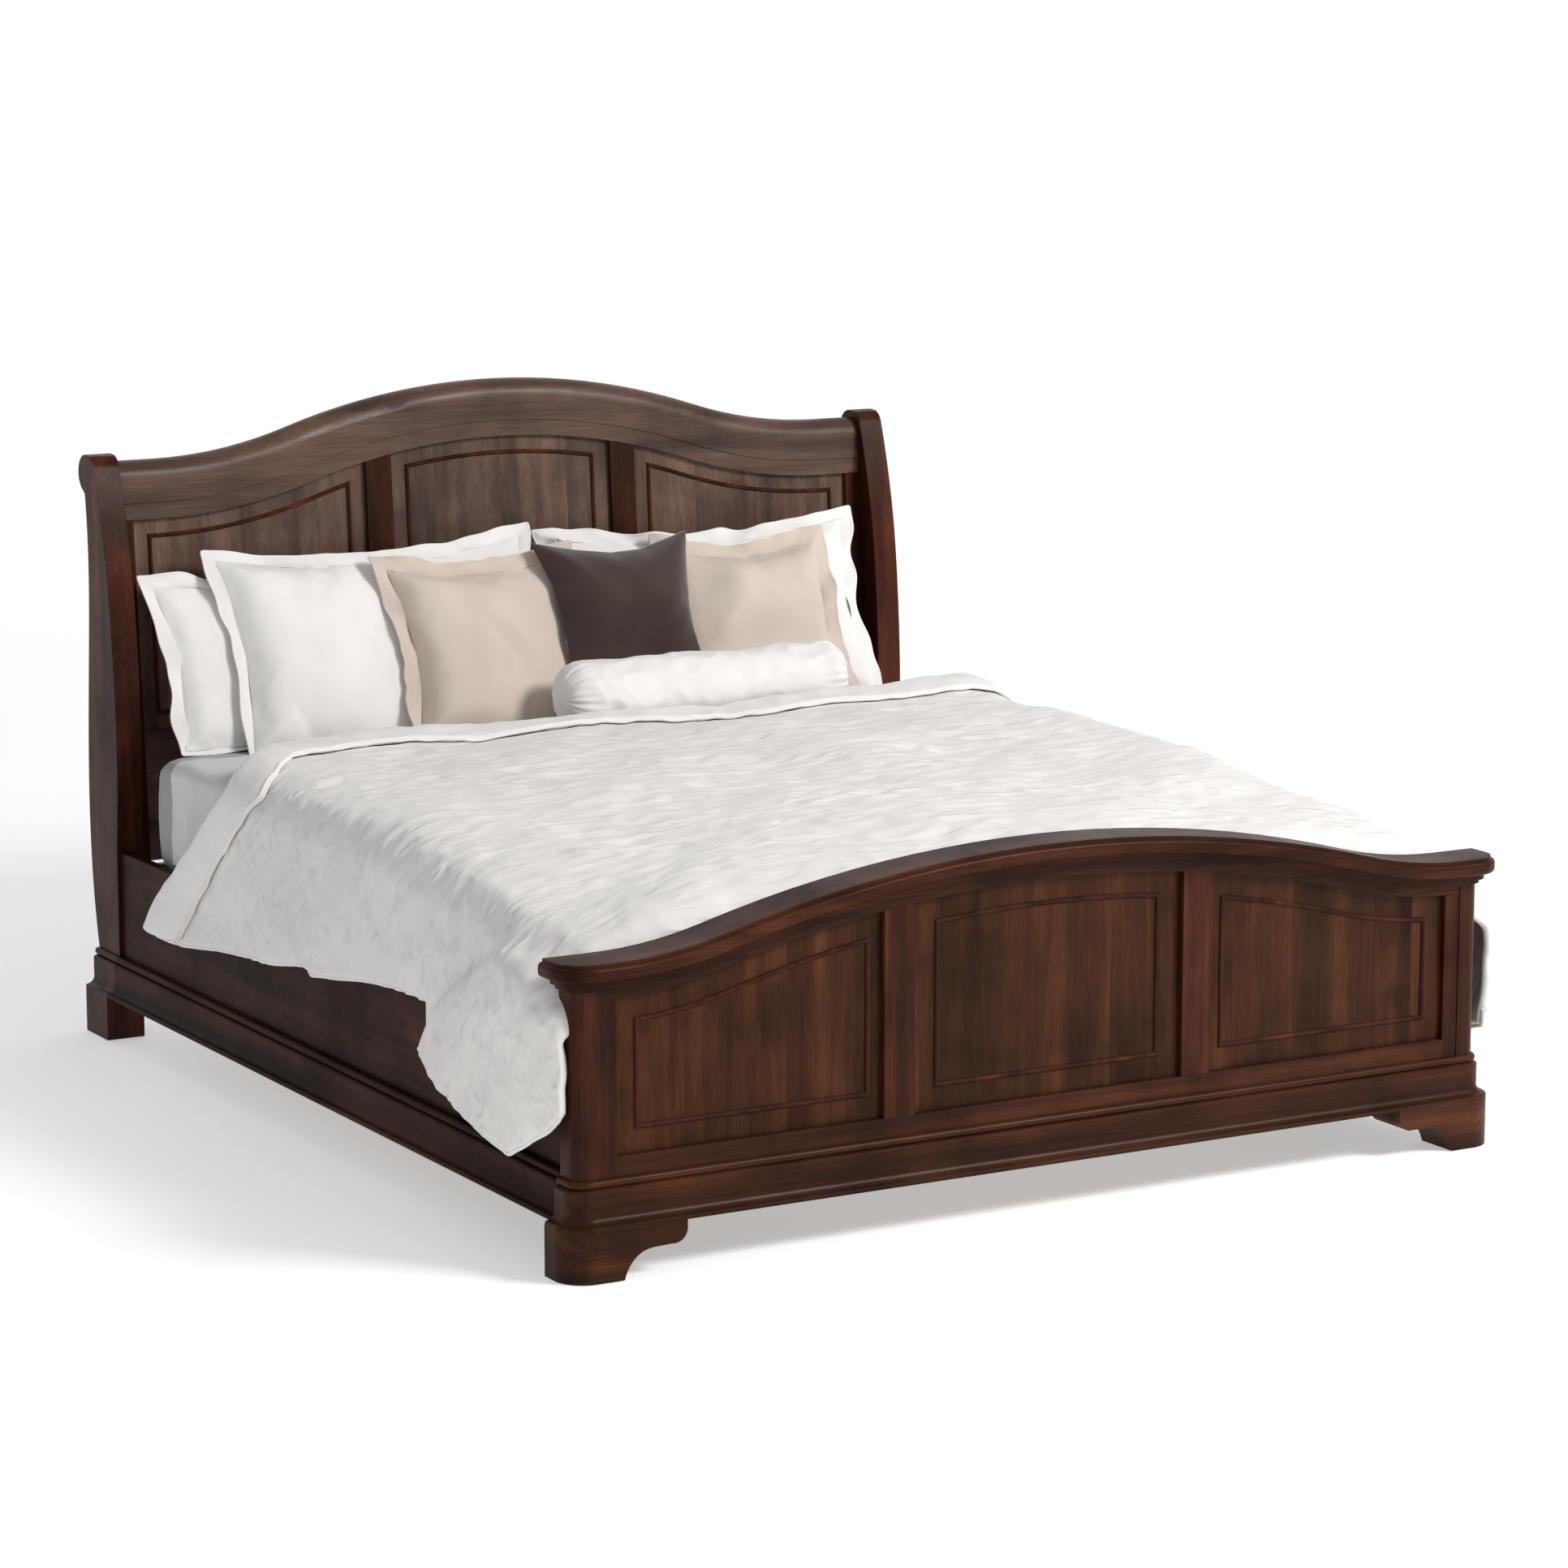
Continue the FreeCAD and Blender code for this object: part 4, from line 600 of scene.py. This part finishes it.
def make_pillow(name, cad, width, height, fat_front, fat_back, cloth, seed, flange=0.0, turn=0.0,
                roll=0.0, shift=0.0, gather=0.05, pinch=0.024, plump=2.9, extra=0.03, leaning=()):
    """A stuffed pillow in place of CAD node cad; width and height include any flange."""
    inner_w, inner_h = width - 2 * flange, height - 2 * flange
    low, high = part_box(cad)
    middle = (low[0] + high[0]) / 2
    verts, faces, ring, size = envelope(inner_w, inner_h, CLOTH_STEP, seed)
    obj = new_object(name, verts, faces)
    blown = inflate(obj, 3.0, 20, ring, gather=gather)
    # the sides pull in between the corners, but a stuffed sham keeps most of its width
    keep = np.array([DRAW_IN, 1.0, DRAW_IN])
    verts = verts * (1 - keep) + blown * keep
    # wrinkles from the simulation are kept; the fill is pressed to the room it has
    half_w = np.abs(verts[:, 0]).max()
    half_h = np.abs(verts[:, 2]).max()
    verts[:, 0] *= inner_w / 2 / half_w
    verts[:, 2] *= inner_h / 2 / half_h
    # each side draws in between its corners
    across = verts[:, 0] / (inner_w / 2)
    level = verts[:, 2] / (inner_h / 2)
    verts[:, 0] -= pinch * across * np.abs(across) * (1 - np.clip(np.abs(level), 0, 1) ** 1.7)
    verts[:, 2] -= pinch * np.clip(level, 0, 2) ** 2 * (1 - np.clip(np.abs(across), 0, 1) ** 1.7)
    # it stands on its lower side, which lies straight on the bed
    foot = verts[ring[:size[0]]]
    order = np.argsort(foot[:, 0])
    gap = np.interp(verts[:, 0], foot[order, 0], foot[order, 2]) - foot[:, 2].min()
    verts[:, 2] -= gap * np.clip(-level, 0, 1) ** 2
    # the fill takes the room it has: more where no pillow leans on it
    depth = verts[:, 1]
    share = np.where(depth < 0, -depth / max(1e-6, -depth.min()), depth / max(1e-6, depth.max()))
    share = np.tanh(plump * share) / math.tanh(plump)
    place_x = middle + verts[:, 0]
    height_up = verts[:, 2] + height / 2
    bare = np.ones(len(verts))
    for x0, x1, top in leaning:
        out = np.maximum(np.maximum(x0 - place_x, place_x - x1), height_up - top)
        bare = np.minimum(bare, smooth((out + 0.01) / 0.13))
    room = fat_front + extra * bare * (1.0 - 0.22 * level)
    verts[:, 1] = np.where(depth < 0, -room * share, fat_back * share)
    folds = waves(seed + 5, 30, 3.0, 13.0, (1.0, 0.2, 1.0))(verts)
    near_edge = np.minimum(inner_w / 2 - np.abs(verts[:, 0]), inner_h / 2 - np.abs(verts[:, 2]))
    verts[:, 1] += 0.0020 * folds * smooth(near_edge / 0.05) * np.sign(verts[:, 1] - 1e-9)
    seam = verts[ring]
    obj.data.clear_geometry()
    all_verts, all_faces = verts, list(faces)
    if flange:
        nx, nz = size
        corners = [0, nx - 1, nx + nz - 2, 2 * nx + nz - 3]
        normals = seam_normals(seam, corners)
        border, border_faces = flange_strip(seam, normals, flange, seed + 9, corners)
        all_faces += [tuple(i + len(verts) for i in f) for f in border_faces]
        all_verts = np.vstack([verts, border])
    base_y = PILLOW_BACK[cad] - fat_back / math.cos(SLAB_LEAN) + shift
    placed = place_pillow(all_verts, middle, base_y, BED_TOP + 0.001 - SINK, LEAN_DEG, turn, roll)
    obj.data.from_pydata([tuple(map(float, v)) for v in placed], [], [tuple(map(int, f)) for f in all_faces])
    obj.data.update()
    obj.data.polygons.foreach_set("use_smooth", [True] * len(obj.data.polygons))
    obj.data.materials.append(cloth)
    subdivide(obj)
    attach(obj, "bedding")
    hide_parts(cad)
    return obj


def lower_back_edge(cad, thick):
    """Y of the lower back edge of a leaning CAD slab."""
    lo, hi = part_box(cad)
    a = SLAB_LEAN
    height = (hi[2] - lo[2] - thick * MM * math.sin(a)) / math.cos(a)
    return hi[1] - height * math.sin(a)


PILLOW_THICK = {"white_sham_back_left": 40, "white_sham_back_right": 40, "white_sham_front_left": 44,
                "white_sham_front_right": 44, "beige_sham_left": 34, "beige_sham_right": 34,
                "brown_cushion": 32}      # thickness of the CAD slabs, mm
PILLOW_BACK = {cad: lower_back_edge(cad, t) for cad, t in PILLOW_THICK.items()}

# what leans on the pillows behind it: left edge, right edge and top, in metres
SHAM_FRONT_LEFT = (-0.789, 0.041, 0.47)
SHAM_FRONT_RIGHT = (0.046, 0.886, 0.47)
BEIGE_LEFT = (-0.408, 0.113, 0.43)
BEIGE_RIGHT = (0.300, 0.798, 0.43)
BROWN = (-0.022, 0.400, 0.43)
BOLSTER = (-0.084, 0.655, 0.19)
make_pillow("sham_back_left", "white_sham_back_left", 0.861, 0.448, 0.024, 0.016, WHITE_FABRIC,
            11, flange=0.025, roll=-0.6, shift=-0.026, extra=0.020,
            leaning=(SHAM_FRONT_LEFT,))
make_pillow("sham_back_right", "white_sham_back_right", 0.811, 0.440, 0.024, 0.016, WHITE_FABRIC,
            12, flange=0.025, roll=0.4, extra=0.012, leaning=(SHAM_FRONT_RIGHT,))
make_pillow("sham_front_left", "white_sham_front_left", 0.832, 0.512, 0.027, 0.017, WHITE_FABRIC,
            13, flange=0.025, roll=0.5, turn=1.2, shift=-0.012, extra=0.040,
            leaning=(BEIGE_LEFT, BROWN))
make_pillow("sham_front_right", "white_sham_front_right", 0.842, 0.502, 0.027, 0.017, WHITE_FABRIC,
            14, flange=0.025, roll=-0.4, shift=-0.006, extra=0.030,
            leaning=(BEIGE_RIGHT, BROWN))
make_pillow("beige_sham_l", "beige_sham_left", 0.520, 0.478, 0.020, 0.014, BEIGE_FABRIC,
            15, flange=0.032, shift=-0.013, extra=0.040, leaning=(BROWN, BOLSTER))
make_pillow("beige_sham_r", "beige_sham_right", 0.500, 0.480, 0.020, 0.014, BEIGE_FABRIC,
            16, flange=0.032, extra=0.046, leaning=(BROWN, BOLSTER))
make_pillow("brown_pillow", "brown_cushion", 0.424, 0.474, 0.019, 0.013, BROWN_FABRIC,
            17, gather=0.0, shift=-0.010, extra=0.056, pinch=0.034, plump=1.7,
            leaning=(BOLSTER,))

# ------------------------------------------------------------------ mattress and coverlet
def curve(x, pairs):
    """Value at x on straight lines between (x, value) pairs."""
    xs = [p[0] for p in pairs]
    return np.interp(x, xs, [p[1] for p in pairs])


# stations in mm behind the bracket feet, heights and half widths in metres
SHOULDER = [(104, 0.480), (111, 0.545), (121, 0.590), (140, 0.608), (175, 0.618), (307, 0.636),
            (448, 0.654), (710, 0.680), (1046, 0.697), (1433, 0.700), (1850, 0.704), (2000, 0.704)]
CROWN = [(104, 0.500), (110, 0.570), (118, 0.630), (130, 0.664), (150, 0.682), (190, 0.693),
         (280, 0.702), (600, 0.706), (1400, 0.708), (1850, 0.706), (2000, 0.706)]
HEM_LEFT = [(100, 0.322), (140, 0.272), (236, 0.208), (430, 0.262), (640, 0.325), (658, 0.340),
            (672, 0.402), (930, 0.391), (1168, 0.362), (1182, 0.380), (1340, 0.352), (1600, 0.318),
            (1835, 0.297), (1990, 0.300)]
HEM_RIGHT = [(100, 0.300), (120, 0.235), (180, 0.212), (430, 0.280), (700, 0.330), (1100, 0.372),
             (1500, 0.350), (1990, 0.31)]


def rounded_loop(half_x, y0, y1, radius, count=10):
    """Points of a rounded rectangle, anticlockwise, as (x, y)."""
    out = []
    for cx, cy, start in ((half_x - radius, y1 - radius, 0), (-half_x + radius, y1 - radius, 90),
                          (-half_x + radius, y0 + radius, 180), (half_x - radius, y0 + radius, 270)):
        for k in range(count + 1):
            a = math.radians(start + 90 * k / count)
            out.append((cx + radius * math.cos(a), cy + radius * math.sin(a)))
    return np.array(out)


def corner_dip(x, y, z):
    """How far the bed's top gives way under the duvet towards its two foot corners."""
    low = 0.703 - curve((y + ORIGIN_Y) / MM, SHOULDER)
    side = smooth((np.abs(x) - 0.50) / 0.38)
    return np.clip(low, 0, 1) * side * smooth((z - 0.42) / 0.2)


def make_mattress():
    """Mattress in a plain knit cover: full sides and rounded edges."""
    lo, hi = MATTRESS_LO, MATTRESS_HI
    loop = rounded_loop(hi[0] - 0.004, lo[1] + 0.004, hi[1] - 0.003, 0.034, 8)
    dense = []
    for a, b in zip(loop, np.roll(loop, -1, 0)):
        n = max(1, int(np.linalg.norm(b - a) / 0.05))
        dense += [a + (b - a) * k / n for k in range(n)]
    loop = np.array(dense)
    centre = loop.mean(0)
    height = hi[2] - lo[2]
    edge = 0.042
    turns = np.radians([90, 72, 54, 36, 18, 0])
    rows = [(-0.30, 0.0), (-0.10, 0.0)]
    rows += [(-edge * (1 - math.cos(a)), edge * (1 - math.sin(a))) for a in turns]
    rows += [(0.003 * math.sin(math.pi * t), edge + t * (height - 2 * edge)) for t in (0.25, 0.5, 0.75)]
    rows += [(-edge * (1 - math.cos(a)), height - edge * (1 - math.sin(a))) for a in turns[::-1]]
    rows += [(-0.10, height), (-0.30, height), (-0.60, height)]
    span = np.abs(loop - centre).max(0)
    verts = []
    for inset, z in rows:
        p = loop + (loop - centre) * (inset / span)
        verts += [(x, y, lo[2] + z - corner_dip(x, y, lo[2] + z)) for x, y in p]
    faces = grid_faces(len(rows), len(loop), wrap_cols=True)
    n = len(loop)
    faces.append(tuple(range(n))[::-1])
    faces.append(tuple(range((len(rows) - 1) * n, len(rows) * n)))
    obj = new_object("mattress_body", verts, faces)
    obj.data.materials.append(MATTRESS_FABRIC)
    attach(obj, "bedding")
    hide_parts("mattress")


def tube(name, points, radius, closed=False, sides=8):
    """Round tube along points, such as a cord of piping."""
    n = len(points)
    if closed:
        tangent = np.roll(points, -1, 0) - np.roll(points, 1, 0)
    else:
        tangent = np.gradient(points, axis=0)
    tangent /= np.linalg.norm(tangent, axis=1)[:, None]
    up = np.where(np.abs(tangent[:, 2:3]) > 0.9, np.array([[1.0, 0, 0]]), np.array([[0, 0, 1.0]]))
    a = np.cross(tangent, up)
    a /= np.linalg.norm(a, axis=1)[:, None]
    b = np.cross(tangent, a)
    verts = []
    for p, u, v in zip(points, a, b):
        for k in range(sides):
            t = 2 * math.pi * k / sides
            verts.append(p + radius * (math.cos(t) * u + math.sin(t) * v))
    faces = grid_faces(n, sides, wrap_rows=closed, wrap_cols=True)
    if not closed:
        faces.append(tuple(range(sides)))
        faces.append(tuple(range((n - 1) * sides, n * sides))[::-1])
    return new_object(name, verts, faces)


def make_coverlet():
    """Thin quilted cover over the mattress, its sides tucked down inside the rails."""
    lo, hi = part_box("coverlet")
    half = hi[0] - 0.003
    top = hi[2]
    radius = 0.034
    ny, head = 120, hi[1]
    path = [(-half, lo[2] + 0.002)]
    path += [(-half, lo[2] + (top - radius - lo[2]) * t) for t in np.linspace(0.08, 1, 14)]
    path += [(-half + radius - radius * math.cos(a), top - radius + radius * math.sin(a))
             for a in np.radians([15, 30, 45, 60, 75, 90])]
    path += [(x, top) for x in np.linspace(-half + radius, half - radius, 100)[1:-1]]
    path += [(-x, z) for x, z in path[:21][::-1]]
    path = np.array(path)
    ys = np.linspace(lo[1] + 0.03, head, ny)
    verts = np.array([(x, y, z) for y in ys for x, z in path])
    # stitched diamonds: each one crowns a little between its lines of stitching
    along = np.concatenate([[0], np.cumsum(np.linalg.norm(np.diff(path, axis=0), axis=1))])
    u = np.tile(along, ny)
    v = verts[:, 1]
    a, b = (u + v) / 0.115, (u - v) / 0.115
    crown = np.minimum(np.abs(np.sin(math.pi * a)), np.abs(np.sin(math.pi * b))) ** 0.6
    wobble = waves(41, 20, 2.0, 8.0)(verts)
    lift = 0.0035 * crown + 0.0016 * wobble
    outward = np.zeros_like(verts)
    side = verts[:, 2] < top - radius
    outward[side, 0] = np.sign(verts[side, 0])
    outward[~side, 2] = 1
    verts += outward * (lift - 0.004)[:, None]
    verts[:, 2] -= corner_dip(verts[:, 0], verts[:, 1], verts[:, 2])
    obj = new_object("coverlet_quilt", verts, grid_faces(ny, len(path)))
    obj.data.materials.append(COVERLET_FABRIC)
    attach(obj, "bedding")
    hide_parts("coverlet")
    return obj


# ------------------------------------------------------------------ duvet
def flap_out(side, y, z):
    """How far out the flap hangs at station y (mm) and height z."""
    low = np.clip((0.66 - z) / 0.36, 0, 1)
    base = 1.004 + 0.030 * smooth(low * 1.6)
    if side < 0:
        ridge = curve(z, [(0.20, 720), (0.329, 668), (0.435, 575), (0.626, 275), (0.72, 120)])
        step = smooth((ridge - y) / 42.0) * smooth((0.66 - z) / 0.10)
        near_post = 1 - 0.62 * smooth((190 - y) / 80.0)
        base = base + 0.052 * step * near_post * (0.55 + 0.45 * smooth((ridge - y) / 240.0))
        base = (base + 0.010 * smooth((y - 1174) / 16.0) * smooth((0.47 - z) / 0.08)
                * smooth((1500 - y) / 200.0))
    else:
        swing = np.exp(-((z - 0.405) / 0.115) ** 2)
        near = (0.20 + 0.80 * smooth((y - 106) / 55.0)) * smooth((760 - y) / 470.0)
        base = base + near * (0.030 * low + 0.094 * swing)
        base = base + 0.026 * smooth((400 - y) / 250.0) * smooth((0.60 - z) / 0.08)
    return base


def duvet_rows(y, side, count):
    """Points from the middle of the bed to the hem on one side, at station y (mm)."""
    zc, zs = curve(y, CROWN), curve(y, SHOULDER)
    zs = min(zs, zc + 0.004)
    hem = curve(y, HEM_LEFT if side < 0 else HEM_RIGHT)
    pts = [(0.0, zc), (0.30, zc - 0.001), (0.60, zc - 0.3 * (zc - zs)), (0.80, zs + 0.25 * (zc - zs) + 0.002),
           (0.90, zs + 0.002), (0.955, zs - 0.010), (0.985, zs - 0.034)]
    z0 = zs - 0.075
    heights = np.linspace(z0, hem, 26)
    pts += [(float(flap_out(side, y, z)), float(z)) for z in heights]
    pts = np.array(pts)
    seg = np.concatenate([[0], np.cumsum(np.linalg.norm(np.diff(pts, axis=0), axis=1))])
    dense = np.linspace(0, seg[-1], 420)
    x = np.interp(dense, seg, pts[:, 0])
    z = np.interp(dense, seg, pts[:, 1])
    width = 9
    kernel = np.hanning(2 * width + 1)
    kernel /= kernel.sum()
    x2 = np.convolve(np.pad(x, width, mode="reflect", reflect_type="odd"), kernel, "valid")
    z2 = np.convolve(np.pad(z, width, mode="reflect", reflect_type="odd"), kernel, "valid")
    length = np.concatenate([[0], np.cumsum(np.hypot(np.diff(x2), np.diff(z2)))])
    want = np.linspace(0, length[-1], count)
    return np.stack([side * np.interp(want, length, x2), np.interp(want, length, z2)], -1)


HALF_COUNT = 92
FOOT_Y, HEAD_Y = 108.0, 2010.0       # stations of the duvet's sections, mm
FLAP_SHARE = 0.72                    # beyond this share of the half width the duvet hangs
FLAP_REACH = 52                      # how far the flaps reach towards the foot past the posts, mm
FLAP_STOP, TOP_STOP = 52.0, 106.0    # nearest stations of the flaps and of the top, mm
CLOTH_STEPS = 190


def duvet_base(y):
    """One full cross-section at station y (mm), left hem to right hem, as (x, z)."""
    left = duvet_rows(y, -1, HALF_COUNT)
    right = duvet_rows(y, 1, HALF_COUNT)
    return np.vstack([left[::-1], right[1:]])


ROW_Y = np.linspace(FOOT_Y, HEAD_Y, CLOTH_STEPS)
SECTIONS = np.array([duvet_base(y) for y in ROW_Y])      # (rows, columns, 2)
COLUMNS = SECTIONS.shape[1]


def head_edge(share):
    """Station (mm) of the duvet's folded head edge, from left hem (-1) to right hem (1)."""
    return curve(share, [(-1.0, 1985), (-0.93, 1905), (-0.86, 1800), (-0.79, 1700), (-0.745, 1640),
                         (-0.70, 1668), (-0.62, 1775), (-0.50, 1822), (-0.30, 1835), (0.0, 1838),
                         (0.3, 1815), (0.55, 1812), (0.72, 1838), (0.85, 1850), (1.0, 1870)])


def surface(share, station):
    """Duvet's outer surface: arrays of side share and station (mm) to points in the bed's frame."""
    col = (np.asarray(share) + 1) / 2 * (COLUMNS - 1)
    row = (np.clip(station, FOOT_Y, HEAD_Y) - FOOT_Y) / (HEAD_Y - FOOT_Y) * (len(ROW_Y) - 1)
    c0 = np.clip(np.floor(col).astype(int), 0, COLUMNS - 2)
    r0 = np.clip(np.floor(row).astype(int), 0, len(ROW_Y) - 2)
    fc, fr = (col - c0)[:, None], (row - r0)[:, None]
    p = (SECTIONS[r0, c0] * (1 - fc) * (1 - fr) + SECTIONS[r0, c0 + 1] * fc * (1 - fr)
         + SECTIONS[r0 + 1, c0] * (1 - fc) * fr + SECTIONS[r0 + 1, c0 + 1] * fc * fr)
    y = np.clip(station, FOOT_Y, HEAD_Y)
    # outside the foot posts the flaps reach a little further towards the foot
    reach = smooth((0.575 - p[:, 1]) / 0.10) * smooth((400 - y) / 290.0)
    reach = reach * smooth((np.abs(share) - FLAP_SHARE) / 0.08)
    return np.stack([p[:, 0], yy(y - FLAP_REACH * reach), p[:, 1]], -1)


def surface_normals(share, station):
    """Normals of the duvet's surface, from small steps along and across it."""
    e, d = 0.004, 6.0
    a = surface(np.clip(share + e, -1, 1), station) - surface(np.clip(share - e, -1, 1), station)
    b = surface(share, station + d) - surface(share, station - d)
    n = np.cross(a, b)
    n /= np.linalg.norm(n, axis=1)[:, None] + 1e-12
    return n


def turned_out(n, p):
    """The surface normals n at points p, turned to face up and away from the bed's middle."""
    flip = np.where(n[:, 2] + 0.3 * np.abs(n[:, 0]) * np.sign(n[:, 0] * p[:, 0]) < 0, -1.0, 1.0)
    return n * flip[:, None]


PUFF = waves(51, 26, 1.2, 3.6, (0.9, 1.0, 0.7))
CREASE = waves(52, 60, 6.0, 17.0, (0.35, 1.0, 0.5))
FINE = waves(55, 80, 15.0, 38.0, (0.32, 1.0, 0.55))
CREASE_SIDE = waves(54, 50, 6.0, 16.0, (0.6, 1.0, 0.45))
DRAPE = waves(53, 18, 0.9, 2.6, (0.05, 1.0, 0.12))


def relief(p, share):
    """Loft of the filling and creases of the cloth, along the surface's normal."""
    flap = smooth((np.abs(share) - 0.62) / 0.16)
    out = 0.0065 * PUFF(p) * (1 - 0.5 * flap)
    ridged = 1 - np.abs(CREASE(p)) * 1.4
    ridged_side = 1 - np.abs(CREASE_SIDE(p)) * 1.4
    out += 0.0024 * (ridged * (1 - flap) + ridged_side * flap)
    out += 0.0009 * (1 - np.abs(FINE(p)) * 1.4)
    low = smooth((0.60 - p[:, 2]) / 0.35)
    out += 0.011 * DRAPE(p) * low * flap
    return out


def on_flap(share):
    """Whether the duvet hangs there instead of lying on the bed."""
    return np.abs(share) > FLAP_SHARE


def make_duvet():
    rows, cols = CLOTH_STEPS, 210
    share = np.linspace(-1, 1, cols)
    t = np.linspace(0, 1, rows)
    head = head_edge(share)
    stations = FOOT_Y + (head[None, :] - FOOT_Y) * t[:, None]
    s = np.tile(share, rows)
    y = stations.ravel()
    p = surface(s, y)
    n = surface_normals(s, y)
    n = turned_out(n, p)
    p = p + n * relief(p, s)[:, None]
    p[:, 1] = np.maximum(p[:, 1], yy(np.where(on_flap(s), FLAP_STOP, TOP_STOP)))
    obj = new_object("duvet_cover", p, grid_faces(rows, cols))
    obj.data.materials.append(DUVET_FABRIC)
    solid = obj.modifiers.new("loft", "SOLIDIFY")
    solid.thickness = 0.020
    solid.offset = -1.0
    solid.use_even_offset = False
    subdivide(obj)
    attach(obj, "bedding")
    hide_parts("duvet")
    return obj


def make_turnback():
    """The duvet's head edge folded back over itself, with a piped border."""
    cols = 230
    share = np.linspace(-0.995, 0.995, cols)
    head = head_edge(share)
    width = curve(share, [(-1.0, 150), (-0.8, 140), (-0.6, 105), (0.6, 105), (1.0, 140)])
    section = [(4, -14), (16, -6), (22, 8), (17, 23), (3, 34), (-20, 39), (-50, 38), (-80, 34), (-110, 29),
               (-134, 24), (-146, 19), (-150, 12), (-146, 5), (-110, 2), (-60, 0), (-20, -6)]
    rings = []
    for dy, dn in section:
        st = head + dy * np.where(dy < 0, width / 150.0, 1.0)
        p = surface(share, st)
        n = surface_normals(share, st)
        n = turned_out(n, p)
        puff = relief(p, share)
        rings.append(p + n * (puff + dn * MM * 0.62)[:, None])
    verts = np.vstack(rings)
    faces = grid_faces(len(rings), cols, wrap_rows=True)
    n_r = len(rings)
    faces.append(tuple(i * cols for i in range(n_r)))
    faces.append(tuple(i * cols + cols - 1 for i in range(n_r))[::-1])
    obj = new_object("duvet_turnback", verts, faces)
    obj.data.materials.append(HEM_FABRIC)
    subdivide(obj)
    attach(obj, "bedding")
    line = (rings[10] + rings[9]) / 2
    pipe = tube("duvet_piping", line, 0.0032)
    pipe.data.materials.append(HEM_FABRIC)
    subdivide(pipe)
    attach(pipe, "bedding")
    return obj


def make_hem():
    """Piped hem round the duvet's two sides."""
    for side, name in ((-1, "duvet_hem_left"), (1, "duvet_hem_right")):
        st = np.linspace(FOOT_Y + 2, head_edge(np.array([float(side)]))[0], 210)
        share = np.full(len(st), float(side))
        p = surface(share * 0.9999, st)
        n = surface_normals(share * 0.995, st)
        n *= np.where(n[:, 0] * side < 0, -1.0, 1.0)[:, None]
        p = p + n * (relief(p, share) - 0.006)[:, None]
        p[:, 1] = np.maximum(p[:, 1], yy(np.where(on_flap(share), FLAP_STOP + 3, TOP_STOP + 4)))
        pipe = tube(name, p, 0.0045)
        pipe.data.materials.append(HEM_FABRIC)
        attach(pipe, "bedding")


# ------------------------------------------------------------------ bolster
def make_bolster():
    """Round bolster with rounded ends, gathered towards a button at each end."""
    lo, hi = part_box("bolster")
    centre = (lo + hi) / 2
    radius = (hi[2] - lo[2]) / 2
    half = (hi[0] - lo[0]) / 2
    around, along = 120, 150
    t = np.linspace(-1, 1, along)
    # rounded ends: radius shrinks over the last part and closes on a gathered button
    u = np.clip((np.abs(t) - 0.80) / 0.20, 0, 1)
    profile = radius * np.sqrt(np.clip(1 - u ** 2.6, 0, 1)) ** 0.82
    x = t * half * (1 - 0.012 * u)
    a = np.linspace(0, 2 * math.pi, around, endpoint=False)
    verts = np.zeros((along, around, 3))
    verts[..., 0] = x[:, None]
    verts[..., 1] = profile[:, None] * np.cos(a)[None, :]
    verts[..., 2] = profile[:, None] * np.sin(a)[None, :]
    flat = verts.reshape(-1, 3)
    loft = waves(61, 26, 2.5, 9.0)(flat)
    crease = 1 - 1.3 * np.abs(waves(62, 36, 7.0, 20.0, (0.7, 1.0, 1.0))(flat))
    rng = np.random.default_rng(63)
    gather = np.zeros(around)
    for k in range(9, 30):
        gather += rng.normal() * np.sin(k * a + rng.uniform(0, 6.28))
    gather /= gather.std()
    # gathers start near each end and deepen towards the button
    depth = smooth((np.abs(t) - 0.70) / 0.28) * (1 - 0.5 * smooth((np.abs(t) - 0.965) / 0.035))
    out = 0.0030 * loft + 0.0016 * crease + (depth[:, None] * gather[None, :] * 0.0019).ravel()
    scale = 1 + out / np.maximum(np.repeat(profile, around), 0.02)
    flat[:, 1] *= scale
    flat[:, 2] *= scale
    # it rests on the bed: its underside flattens a little
    floor_z = -radius * 0.955
    flat[:, 2] = np.where(flat[:, 2] < floor_z, floor_z + (flat[:, 2] - floor_z) * 0.25, flat[:, 2])
    flat += np.array(centre)
    faces = grid_faces(along, around, wrap_cols=True)
    faces.append(tuple(range(around))[::-1])
    faces.append(tuple(range((along - 1) * around, along * around)))
    obj = new_object("bolster_pillow", flat, [f[::-1] for f in faces])
    obj.data.materials.append(WHITE_FABRIC)
    subdivide(obj)
    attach(obj, "bedding")
    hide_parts("bolster")


make_mattress()
make_coverlet()
make_duvet()
make_turnback()
make_hem()
make_bolster()
